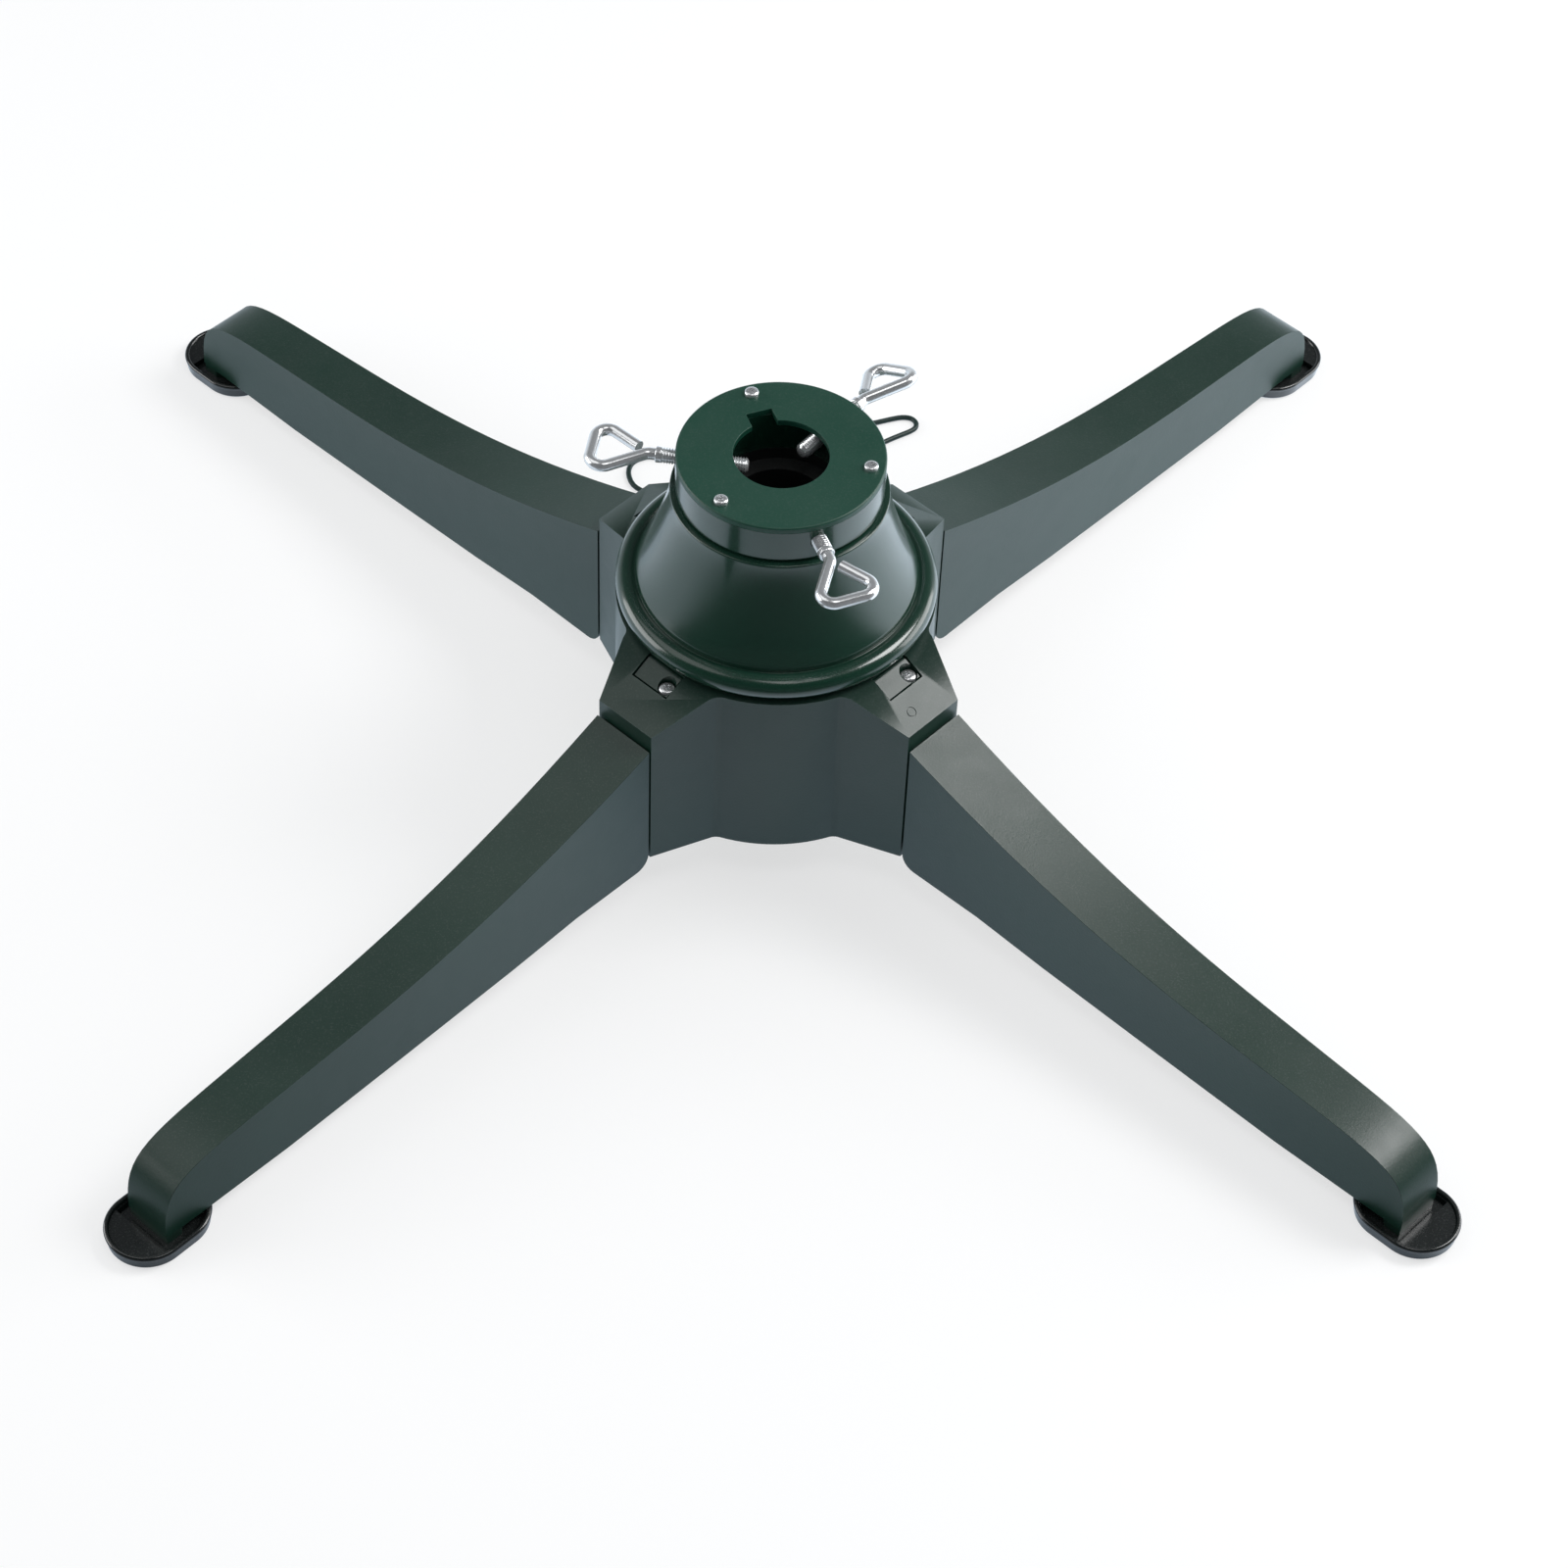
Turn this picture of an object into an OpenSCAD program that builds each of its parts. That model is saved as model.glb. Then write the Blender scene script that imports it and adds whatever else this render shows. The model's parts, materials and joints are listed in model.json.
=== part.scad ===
// Rotating stand for an artificial tree: four screwed-on legs, a motor hub and a turntable head.
// Millimetres, +Z up. The origin is on the floor, below the axis that the head turns about.
// "Leg frame" means: X outwards along a leg, Y sideways, Z up, before the leg is turned to its bearing.

/* [Legs and feet] */
// Distance from the axis to the middle of each foot cup
foot_radius = 317; // [310:1:325]
// Outer radius of a foot cup's two round ends
cup_r = 15.5; // [14:0.5:17]
// Height of a foot cup's rim
cup_height = 6.5; // [5.5:0.1:6.5]
// Wall of the moulded leg shells
leg_wall = 2.5; // [2:0.1:3]
// Number of cross ribs inside each leg
leg_ribs = 6; // [3:1:8]

/* [Hub] */
// Outer radius of the hub's drum
hub_r = 59.7; // [59.5:0.1:60]
// Underside of the hub above the floor
hub_bottom = 18.2; // [17:0.1:19]
// Wall of the hub shell
hub_wall = 2.5; // [2:0.1:2.6]

/* [Turntable head] */
// Radius of the pole socket and of the hole in the top plate
socket_r = 17.5; // [16:0.1:18]
// Top surface of the head's plate above the floor
plate_top = 164.1; // [163.6:0.1:165]
// Radius of the head plate and its collar
head_r = 38.2; // [38:0.1:38.6]
// Wall of the bell cover
bell_wall = 2.2; // [1.6:0.1:2.4]

/* [Clamp bolts] */
// Radius of the threaded shank
bolt_r = 3; // [2.6:0.1:3]
// Radius of the bent wire of the eye
eye_wire_r = 2.25; // [1.8:0.05:2.5]
// Distance from the axis to the tips of the bolts
bolt_tip = 11.8; // [11:0.1:17]

/* [Drive] */
// Teeth of the gear on the pole tube
gear_teeth = 36; // [35:1:40]
// Teeth of the motor's pinion
pinion_teeth = 12; // [10:1:13]
// Size of the teeth (pitch diameter per tooth)
gear_module = 1.5; // [1.45:0.01:1.5]
// Number of balls in the thrust bearing
ball_count = 16; // [8:1:18]

/* [Power lead] */
// Outer diameter of the low-voltage lead
lead_d = 2.2; // [1.8:0.1:2.3]

/* [Hidden] */
$fn = 96;
eps = 0.01;
clear = 0.1;         // radial clearance of a screw in its hole
fit = 0.05;          // radial clearance of a turning fit
gap = 0.3;           // space between moulded pieces that stand beside each other

// Screws: M3 in the cover, the motor and the plate, M4 in the legs, the gear and the collar
small_screw_r = 1.5;
small_head_r = 2.8;
small_head_h = 1.8;
large_screw_r = 2;
large_head_r = 3.6;
large_head_h = 2;
cup_screw_r = 1.75;
cup_head_r = 3.3;
cup_head_h = 1.6;
cup_screw_length = 13;
cover_screw_length = 12;
motor_screw_length = 8;
plate_screw_length = 10;
plate_head_r = 2.65;
leg_screw_length = 16;
leg_head_r = 3;
gear_screw_length = 6.5;
collar_screw_length = 14;
screw_spare = 0.5;   // depth of a screw hole beyond the screw's end

// Legs, in the leg frame
leg_bearing = 45;
arm_face = hub_r + 19.9;           // outer end of the hub's arms
leg_end = arm_face + 0.9;          // face that stands off the hub by a thin dark gap
leg_half_hub = 13.35;              // half width at the hub
leg_half_nose = 10;                // half width at the nose
nose_x = foot_radius - 0.2;
nose_start = foot_radius - 32;
leg_top_curve = [[leg_end, 77.2], [foot_radius - 143, 40.3], [foot_radius - 90, 43.3], [nose_start, 37.5]];
leg_under_hub = 14.4;              // underside beside the hub
leg_under_nose = 7;                // underside just above the cup's rim
nose_curve = [[nose_start, 37.5], [nose_x - 6, 34.9], [nose_x, 29.6], [nose_x, leg_under_nose]];
leg_belly = [
    [leg_end + 37.5, leg_under_hub], [leg_end + 69.5, 12], [foot_radius - 111, 9.3],
    [foot_radius - 57, leg_under_nose]
];
leg_corner = 6;                    // rounding of the lower corner at the hub
rib_thick = 2;
rib_bottom = 8;
cut = 100;                         // reach of a cutting block that goes past everything

// Foot cups: oval, measured from the middle of the outer round end, under the leg's end
cup_straight = 9.5;                // from that middle to the middle of the inner round end
cup_floor = 3;
cup_rim = 1.5;
cup_base_r = cup_r - 1.6;
cup_well_r = cup_base_r - 1.6;
cup_screw_x = -6;
stub_r = cup_well_r - gap;         // the end of the leg, which stands in the cup's well
stub_inner = foot_radius - stub_r;
stub_step = 0.3;                   // by which the stub is smaller than the leg's nose
ledge_x = 3.4;
ledge_top = 5.5;

// Hub arms that hold the legs, in the leg frame
arm_root = hub_r - 19.7;           // where an arm's plan ends inside the drum
arm_half = 13.35;
arm_flare = 0.411;                 // sideways growth of the arm per mm towards the axis
arm_face_top = 84.4;
arm_slope = 0.523;                 // fall of the arm's top per mm outwards
flare_stretch = sqrt(1 + arm_flare * arm_flare);
slope_stretch = sqrt(1 + arm_slope * arm_slope);
hub_top = 95.5;
deck_under = hub_top - hub_wall;
fillet_r = 6;
fillet_sink = 0.05;                // depth by which the rounding cuts into the flank and the drum
window_inner = hub_r - 2.8;
window_outer = hub_r + 6.9;
window_side = [-9.5, 8];
mark_at = [hub_r + 13.8, -5.5];
mark_r = 2;
mark_line = 0.4;
mark_depth = 0.3;

// The tongue by which a leg hangs in its arm
tongue_inner = hub_r - 5.2;
tongue_outer = arm_face - 4.6;
tongue_half = 12;
neck_half = 10.2;
neck_top = 75.8;
neck_gap = 0.4;
tongue_bottom = 21;
pad_sink = 0.8;
pad_inner = window_inner + 0.4;
pad_outer = window_outer - 0.9;
pad_side = [window_side[0] + 0.5, window_side[1] - 0.6];
leg_screw_at = [hub_r + 2.8, 4.5];
leg_screw_seat = 90;
leg_boss_top = 85;
leg_boss_r = 4;
leg_boss_gap = 0.8;

// Bottom cover and the posts that carry it
cover_thick = 2.5;
cover_top = hub_bottom + cover_thick;
post_ring = hub_r - 8.7;
post_r = 4;
posts = 6;
sleeve_rib_bottom = 78;
motor_boss_r = 3.6;
vents = 7;
vent_length = 18;
vent_width = 2;
vent_pitch = 5;

// Thrust bearing
ball_r = 2.5;
ball_ring = 30.5;
ball_z = hub_top + 4.4;
race_in = 24.5;
race_out = 37;
race_lip = 1.1;
groove_r = ball_r + 0.15;
cage_thick = 1.5;

// Pole tube and its guide sleeve
tube_r = 20.5;
tube_end = 47;
tube_floor = 5;
lower_flange = ball_z + race_lip + 3.3;
lower_flange_thick = 3.5;
lower_flange_r = race_out + 1;
head_height = 17.1;                // plate and collar together
bell_top = plate_top - head_height;
bell_top_thick = 2.2;
head_flange = bell_top - bell_top_thick;
head_flange_thick = 3;
head_flange_r = head_r - 2.2;
ledge_z = bell_top - 7.5;          // where the pole's socket widens inside the head
neck_r = 23.4;
neck_wall = 2.6;
neck_floor = 2.5;
neck_slope = 4;
sleeve_r = 24;
sleeve_end = 60;
gussets = 6;
gusset_height = 22;
gusset_thick = 3;

// Head
plate_thick = 2.5;
collar_top = plate_top - plate_thick;
groove_depth = 1.3;
groove_top = bell_top + groove_depth;
collar_edge = 0.4;
plate_edge = 0.5;
notch_bearing = 109;
notch_width = 9.9;
notch_reach = neck_r;
plate_screw_ring = head_r - 5.3;
plate_screw_bearing = 107.6;

// Bell cover outline, from the shoulder down to the rolled rim
bell_curve = [
    [head_r + 2, bell_top - 0.5], [head_r + 2, bell_top - 9.35], [hub_r - 9.4, hub_top + 9.1],
    [hub_r - 1.85, hub_top + 3.7]
];
bell_steps = 16;
rim_r = 4.6;
rim_at = [hub_r - 4.5, hub_top + 5.4];
rim_first = 130;                   // bearing at which the roll leaves the outside
rim_last = -200;                   // bearing at which it meets the inside again

// Clamp bolts, in the bolt's own frame: X outwards along the shank, Y sideways
bolt_z = bell_top + 9;
bolt_bearing = -70.4;
bolt_gap = 0.3;
bolt_chamfer = 1;
shank_end = head_r + 7.3;
eye_corners = [
    [shank_end - 1, 0], [shank_end + 3.3, 0], [shank_end + 23.5, 13.5], [shank_end + 23.5, -13.5],
    [shank_end + 6.9, -2.6]
];
eye_bend = 4.6;
eye_steps = 8;                     // rings in each bend of the eye
nut_x = neck_r + 4.3;
nut_thick = 5;
nut_flats = 10;
nut_corners = nut_flats / cos(30);
nut_gap = 0.2;
collar_screw_ring = head_r - 7.2;

// Drive
pressure_angle = 25;
backlash = 0.3;
drive_pitch_r = gear_module * gear_teeth / 2;
pinion_pitch_r = gear_module * pinion_teeth / 2;
shaft_y = -(drive_pitch_r + pinion_pitch_r);
motor_y = shaft_y + 8;
motor_room = 7.2;                  // from the hub's side to the motor's can
motor_r = hub_r + motor_y - motor_room;
motor_top = 41.7;
motor_plate = 0.9;
motor_neck_r = 5;
ear_x = motor_r + 5.5;
ear_reach = 4;
ear_half = 3.5;
terminal_half = 5;
terminal_depth = 3.5;
terminal_bottom = 26;
terminal_height = 8;
shaft_r = 3.5;
shaft_bottom = 36;
shaft_flat = 2.7;                  // distance of the shaft's flat from its axis
shaft_flat_bottom = 45;
gear_web = 44.5;
gear_bottom = 48;
gear_top = 57;
gear_screw_ring = 12;
pinion_over = 0.5;                 // by which the pinion is longer than the large gear at each end

// Power lead
lead_r = lead_d / 2;
relief_z = 26;
relief_y = hub_r + 20.3;
relief_inner = hub_r - 4;
relief_neck_r = 4.5;
relief_flange_r = 6;
relief_flange_thick = 1.2;
relief_lip_r = relief_z - cover_top - gap;
relief_ribs = 5;
lead_gap = 0.05;                   // space between the lead's ends and what they go into
coil_at = [20, 118];
coil_layers = 4;
coil_spiral = 3.5;                 // turns of one layer before the lead climbs to the next
coil_climb = 0.5;                  // the half turn in which it climbs
coil_outer = 17;
coil_pitch = lead_d + 0.75;
coil_rings = 24;
coil_sides = 6;
tie_thick = 0.6;
tie_width = 4;
tie_gap = 0.2;
coil_z = tie_thick + tie_gap + lead_r;
coil_end_z = coil_z + (coil_layers - 1) * coil_pitch;
coil_turns = coil_layers * coil_spiral + (coil_layers - 1) * coil_climb;
plug_at = [48, 119];
plug_r = 4.75;
plug_length = 28;
plug_neck = 8;
plug_neck_r = 2.6;
barrel_r = 2.75;
barrel_length = 9.5;
barrel_bore = 1.3;

lead_route = [
    [0, relief_y + lead_gap, relief_z], [0, relief_y + 5, relief_z], [0, 90, 24.8], [-0.5, 98, 20],
    [-1.5, 106, 13], [-3, 114, 6],
    [-6, 121, 2.2], [-11, 128, 1.1], [-18, 134, 1.1], [-28, 138, 1.1], [-38, 142, 1.1], [-46.5, 145.5, 1.1],
    [-52, 150, 1.1], [-54, 157, 1.1], [-52.5, 162.7, 1.1], [-48, 166, 1.1], [-42.8, 166.7, 1.1],
    [-35.5, 165.6, 1.1], [-24, 164, 1.1], [-10, 165, 1.1], [6, 170, 1.1], [22, 177, 1.1], [36, 183, 1.1],
    [50.7, 187.6, 1.1], [56, 189.3, 1.1], [60.4, 190.3, 1.1], [64, 189.7, 1.1], [66, 187.3, 1.1],
    [65.8, 184.4, 1.1], [63.6, 182.1, 1.1], [58.5, 179.2, 1.1], [53.4, 176.2, 1.1], [44, 170, 1.1],
    [34, 162, 1.1], [22, 155, 1.1], [12, 149, 1.1], [6, 141, 1.2], [3.3, 132, 1.6], [3, 126, 1.8],
    [coil_at.x - coil_outer, coil_at.y + 2 * lead_r, coil_z]
];
tail_route = [
    [coil_at.x + coil_outer, coil_at.y + 2 * lead_r + 2 * lead_gap, coil_end_z],
    [coil_at.x + coil_outer, coil_at.y + 2 * lead_r + 1.4, coil_end_z], [37.3, 124.6, 9.7],
    [37.9, 127.4, 8.3], [39.5, 129.7, 7.1], [42.5, 130.8, 6.1], [45.5, 129.6, 5.3], [47.4, 126.6, 4.9],
    [48, 123, 4.75],
    [plug_at.x, plug_at.y + lead_gap, plug_r]
];
terminal_face = motor_y + motor_r + terminal_depth;
motor_route = [
    [0, relief_inner - lead_gap, relief_z], [0, relief_inner - 7.7, relief_z],
    [0.5, relief_inner - 17.7, 27], [1, relief_inner - 29.7, 29],
    [0.5, terminal_face + 12, 30], [0, terminal_face + 5, 30], [0, terminal_face + 2 * lead_gap, 30]
];

green = [0.06, 0.16, 0.11];
dark_green = [0.05, 0.11, 0.08];
black = [0.03, 0.04, 0.04];
zinc = [0.78, 0.79, 0.80];
steel = [0.55, 0.56, 0.58];
nylon = [0.88, 0.87, 0.82];

// ---------- shared functions and modules ----------

function mix(a, b, t) = a * (1 - t) + b * t;

// Point and direction of a cubic curve with four control points
function curve_point(c, t) =
    c[0] * pow(1 - t, 3) + 3 * c[1] * t * pow(1 - t, 2) + 3 * c[2] * t * t * (1 - t) + c[3] * t * t * t;
function curve_slope(c, t) =
    3 * (c[1] - c[0]) * pow(1 - t, 2) + 6 * (c[2] - c[1]) * t * (1 - t) + 3 * (c[3] - c[2]) * t * t;
function curve_points(c, n, first = 0) = [for (i = [first:n]) curve_point(c, i / n)];
function curve_offset(c, n, d) = [
    for (i = [0:n])
        let (s = curve_slope(c, i / n), u = s / norm(s))
        curve_point(c, i / n) + d * [u.y, -u.x]
];

// Tube swept along a list of points, closed at both ends
function direction(path, i) =
    let (a = path[max(i - 1, 0)], b = path[min(i + 1, len(path) - 1)])
    (b - a) / norm(b - a);
function ring(path, i, r, sides) =
    let (
        t = direction(path, i),
        s = cross(t, [0, 0, 1]) / norm(cross(t, [0, 0, 1])),
        u = cross(s, t)
    )
    [for (k = [0:sides - 1]) let (a = 360 * (k + 0.5) / sides) path[i] + r * (s * cos(a) + u * sin(a))];
module swept_tube(path, r, sides) {
    last = len(path) - 1;
    points = [for (i = [0:last]) each ring(path, i, r, sides)];
    walls = [
        for (i = [0:last - 1], k = [0:sides - 1])
            let (a = i * sides + k, b = i * sides + (k + 1) % sides)
            each [[a, b, a + sides], [b, b + sides, a + sides]]
    ];
    caps = [[for (k = [sides - 1:-1:0]) k], [for (k = [0:sides - 1]) last * sides + k]];
    polyhedron(points = points, faces = concat(walls, caps), convexity = 8);
}

// Two points for each stretch of a route, on one smooth curve through all of its points
function route_point(p, i, t) =
    let (a = p[max(i - 1, 0)], b = p[i], c = p[i + 1], d = p[min(i + 2, len(p) - 1)])
    (2 * b + (c - a) * t + (2 * a - 5 * b + 4 * c - d) * t * t + (3 * b - a - 3 * c + d) * t * t * t) / 2;
function smooth_route(p) = concat(
    [for (i = [0:len(p) - 2], t = [0, 0.5]) route_point(p, i, t)],
    [p[len(p) - 1]]
);
function path_length(p, i = 0, sum = 0) =
    i >= len(p) - 1 ? sum : path_length(p, i + 1, sum + norm(p[i + 1] - p[i]));

// Slot recess of a cross-head screw
module cross_slot(size, depth) {
    for (a = [0, 90])
        rotate([0, 0, a])
            translate([-size / 2, -size / 10, -depth])
                cube([size, size / 5, depth + eps]);
}

// Pan-head screw, head up: the seat of the head is at Z 0
module pan_screw(shank_r, length, head_r, head_h) {
    difference() {
        union() {
            translate([0, 0, -length]) cylinder(r = shank_r, h = length);
            cylinder(r = head_r, h = head_h * 0.5);
            translate([0, 0, head_h * 0.5]) cylinder(r1 = head_r, r2 = head_r * 0.62, h = head_h * 0.5);
        }
        translate([0, 0, head_h]) cross_slot(head_r * 1.1, head_h * 0.55);
    }
}

module at_bearings(list) {
    for (a = list) rotate([0, 0, a]) children();
}
module at_leg_screw(z) {
    translate([leg_screw_at.x, leg_screw_at.y, z]) children();
}
function around(count, first = 0) = [for (i = [0:count - 1]) first + 360 * i / count];
leg_bearings = around(4, leg_bearing);
bolt_bearings = around(3, bolt_bearing);
plate_screw_bearings = around(3, plate_screw_bearing);
collar_screw_bearings = around(3, bolt_bearing + 30);
gear_screw_bearings = around(3, 30);
post_bearings = around(posts);

// Upright plate in the XZ plane, between two Y values
module side_plate(points, y0, y1) {
    translate([0, y1, 0]) rotate([90, 0, 0]) linear_extrude(y1 - y0) polygon(points);
}

// ---------- hub ----------

function arm_half_at(x, inset) = arm_half + (arm_face - x) * arm_flare - inset * flare_stretch;
function arm_top_at(x, drop) = arm_face_top + (arm_face - x) * arm_slope - drop;
function slope_x(z, drop) = arm_face - (z + drop - arm_face_top) / arm_slope;

// Plan of one arm, drawn in by the inset; it runs inwards into the drum
module arm_plan(inset, outer) {
    polygon([
        [arm_root, -arm_half_at(arm_root, inset)], [outer, -arm_half_at(outer, inset)],
        [outer, arm_half_at(outer, inset)], [arm_root, arm_half_at(arm_root, inset)]
    ]);
}

// The hollow rounding between an arm's flank and the drum
module arm_fillet() {
    flank = [arm_flare, 1] / flare_stretch;
    reach = flank * [arm_face, arm_half] + fillet_r - fillet_sink;
    along = sqrt(pow(hub_r + fillet_r - fillet_sink, 2) - reach * reach);
    centre = reach * flank + along * [flank.y, -flank.x];
    difference() {
        polygon([
            [arm_root + 8, arm_half + 4.65], centre - fillet_r * flank, centre,
            centre * hub_r / (hub_r + fillet_r)
        ]);
        translate(centre) circle(r = fillet_r);
    }
}

// Drum and arms in one, drawn in by the inset; the arms' tops fall outwards, lowered by the drop
module hub_form(inset, bottom, top, drop) {
    difference() {
        translate([0, 0, bottom]) linear_extrude(top - bottom) {
            circle(r = hub_r - inset);
            at_bearings(leg_bearings) {
                arm_plan(inset, arm_face - inset);
                if (inset == 0) {
                    arm_fillet();
                    mirror([0, 1]) arm_fillet();
                }
            }
        }
        at_bearings(leg_bearings) side_plate([
            [slope_x(top + 1, drop), top + 1], [arm_face + 1, arm_top_at(arm_face + 1, drop)],
            [arm_face + 1, top + 1]
        ], -40, 40);
    }
}

module hub_shell() color(dark_green) difference() {
    union() {
        difference() {
            hub_form(0, hub_bottom, hub_top, 0);
            hub_form(hub_wall, hub_bottom - 1, deck_under, hub_wall * slope_stretch);
        }
        // Sleeve that guides the pole tube, stiffened by ribs to the posts
        translate([0, 0, sleeve_end]) cylinder(r = sleeve_r, h = hub_top + 2 - sleeve_end);
        at_bearings(post_bearings) {
            translate([post_ring, 0, cover_top]) cylinder(r = post_r, h = deck_under - cover_top + 1);
            translate([sleeve_r - 1, -hub_wall / 2, sleeve_rib_bottom])
                cube([post_ring - sleeve_r, hub_wall, deck_under + 1 - sleeve_rib_bottom]);
        }
    }
    translate([0, 0, sleeve_end - 1]) cylinder(r = tube_r + fit + eps, h = hub_top);
    at_bearings(post_bearings) translate([post_ring, 0, cover_top - 1])
        cylinder(r = small_screw_r + clear, h = cover_screw_length - cover_thick + 1 + screw_spare);
    at_bearings(leg_bearings) {
        // Slot for the leg's neck, window for the leg's pad and the small moulded mark beside it
        translate([arm_face - hub_wall - 1, -neck_half - neck_gap, hub_bottom - 1])
            cube([hub_wall + 2, 2 * (neck_half + neck_gap), neck_top + neck_gap - hub_bottom + 1]);
        translate([window_inner, window_side[0], leg_boss_top - 5])
            cube([window_outer - window_inner, window_side[1] - window_side[0], hub_top - leg_boss_top + 10]);
    }
    rotate([0, 0, leg_bearings[3]]) translate([mark_at.x, mark_at.y, arm_top_at(mark_at.x, 0)])
        rotate([0, atan(arm_slope), 0]) translate([0, 0, -mark_depth]) difference() {
            cylinder(r = mark_r, h = 2);
            translate([0, 0, -1]) cylinder(r = mark_r - mark_line, h = 4);
        }
    translate([0, hub_r - hub_wall - 1, relief_z]) rotate([-90, 0, 0])
        cylinder(r = relief_neck_r + clear, h = hub_wall + 3);
}

module bottom_cover() color(dark_green) difference() {
    union() {
        translate([0, 0, hub_bottom]) linear_extrude(cover_thick) {
            circle(r = hub_r - hub_wall - gap);
            at_bearings(leg_bearings) arm_plan(hub_wall + gap, arm_face - hub_wall - gap);
        }
        at_bearings(leg_bearings) at_leg_screw(hub_bottom)
            cylinder(r = leg_boss_r, h = leg_boss_top - hub_bottom);
        for (x = [-ear_x, ear_x]) translate([x, motor_y, hub_bottom])
            cylinder(r = motor_boss_r, h = motor_top - motor_plate - hub_bottom);
    }
    at_bearings(leg_bearings) at_leg_screw(leg_screw_seat - leg_screw_length - screw_spare)
        cylinder(r = large_screw_r + clear, h = leg_screw_length);
    for (x = [-ear_x, ear_x]) translate([x, motor_y, motor_top - motor_screw_length - screw_spare])
        cylinder(r = small_screw_r + clear, h = motor_screw_length + 1);
    at_bearings(post_bearings) translate([post_ring, 0, hub_bottom - 1])
        cylinder(r = small_screw_r + clear, h = cover_thick + 2);
    // Vent slots under the motor
    for (i = [0:vents - 1])
        translate([0, motor_y + vent_pitch * (i - (vents - 1) / 2), hub_bottom + cover_thick / 2])
            cube([vent_length, vent_width, cover_thick + 2], center = true);
}

module cover_screws() color(zinc) at_bearings(post_bearings)
    translate([post_ring, 0, hub_bottom]) mirror([0, 0, 1])
        pan_screw(small_screw_r, cover_screw_length, small_head_r, small_head_h);

// ---------- legs and feet ----------

function leg_half_at(x) = mix(leg_half_hub, leg_half_nose, (x - leg_end) / (nose_x - leg_end));

// Plan of a leg between two X values, drawn in sideways by the inset
module leg_plan(x0, x1, inset) {
    polygon([
        [x0, -leg_half_at(x0) + inset], [x1, -leg_half_at(x1) + inset],
        [x1, leg_half_at(x1) - inset], [x0, leg_half_at(x0) - inset]
    ]);
}

// The leg's upper line from the hub to the nose, lowered by a distance
function lowered(points, d) = [for (p = points) [p.x, p.y - d]];

// Rounded lower corner beside the hub
leg_corner_points = [
    for (a = [180:15:270]) [leg_end + leg_corner * (1 + cos(a)), leg_under_hub + leg_corner * (1 + sin(a))]
];

module leg_outer() {
    intersection() {
        side_plate(concat(
            curve_points(leg_top_curve, 20),
            curve_points(nose_curve, 12, 1),
            [for (i = [len(leg_belly) - 1:-1:0]) leg_belly[i]],
            [for (i = [len(leg_corner_points) - 1:-1:0]) leg_corner_points[i]]
        ), -20, 20);
        linear_extrude(cut) leg_plan(leg_end, nose_x, 0);
    }
    intersection() {
        translate([foot_radius, 0, cup_floor]) cylinder(r = stub_r, h = leg_under_nose - cup_floor + 2);
        translate([stub_inner + 0.5, stub_step - leg_half_nose, 0])
            cube([nose_x - stub_step - stub_inner - 0.5, 2 * (leg_half_nose - stub_step), cut]);
    }
}

module leg_hollow() {
    x0 = leg_end + leg_wall;
    x1 = stub_inner - 2;
    difference() {
        intersection() {
            side_plate(concat(
                [[x0, 0], [x0, leg_top_curve[0].y - 17.2]],
                [for (p = lowered(curve_points(leg_top_curve, 20), leg_wall + gap)) if (p.x > x0 + 1) p],
                [for (p = lowered(curve_points(nose_curve, 12), leg_wall + 0.6)) if (p.x < x1 - 1) p],
                [[x1, nose_curve[2].y - 0.6], [x1, 0]]
            ), -20, 20);
            linear_extrude(cut) leg_plan(x0, x1, leg_wall);
        }
        for (i = [1:leg_ribs])
            translate([mix(x0, x1, i / (leg_ribs + 1)) - rib_thick / 2, -20, rib_bottom])
                cube([rib_thick, 40, cut]);
    }
}

// The tongue that slides up into the arm, with its pad that shows in the arm's window
module leg_tongue() {
    drop = hub_wall * slope_stretch + gap;
    plate = leg_wall;
    roof = deck_under - gap;
    difference() {
        union() {
            side_plate([
                [tongue_inner, tongue_bottom], [tongue_outer, tongue_bottom],
                [tongue_outer, arm_top_at(tongue_outer, drop)], [slope_x(roof, drop), roof],
                [tongue_inner, roof]
            ], -tongue_half, tongue_half);
            side_plate([
                [tongue_outer - 1, tongue_bottom], [leg_end + 1, tongue_bottom], [leg_end + 1, neck_top],
                [tongue_outer - 1, neck_top]
            ], -neck_half, neck_half);
            side_plate([
                [pad_inner, leg_boss_top], [pad_outer, leg_boss_top],
                [pad_outer, arm_top_at(pad_outer, pad_sink)], [slope_x(hub_top, 0), hub_top - pad_sink],
                [pad_inner, hub_top - pad_sink]
            ], pad_side[0], pad_side[1]);
        }
        difference() {
            side_plate([
                [tongue_inner + plate, tongue_bottom - 1], [tongue_outer - plate, tongue_bottom - 1],
                [tongue_outer - plate, arm_top_at(tongue_outer - plate, drop + plate * slope_stretch)],
                [slope_x(roof - plate, drop + plate * slope_stretch), roof - plate],
                [tongue_inner + plate, roof - plate]
            ], -tongue_half + plate, tongue_half - plate);
            at_leg_screw(leg_boss_top) cylinder(r = leg_boss_r + leg_boss_gap, h = 10);
        }
        at_leg_screw(leg_boss_top - 1) cylinder(r = large_screw_r + clear, h = 20);
        at_leg_screw(leg_screw_seat) cylinder(r = leg_head_r + neck_gap, h = 20);
    }
}

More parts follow.
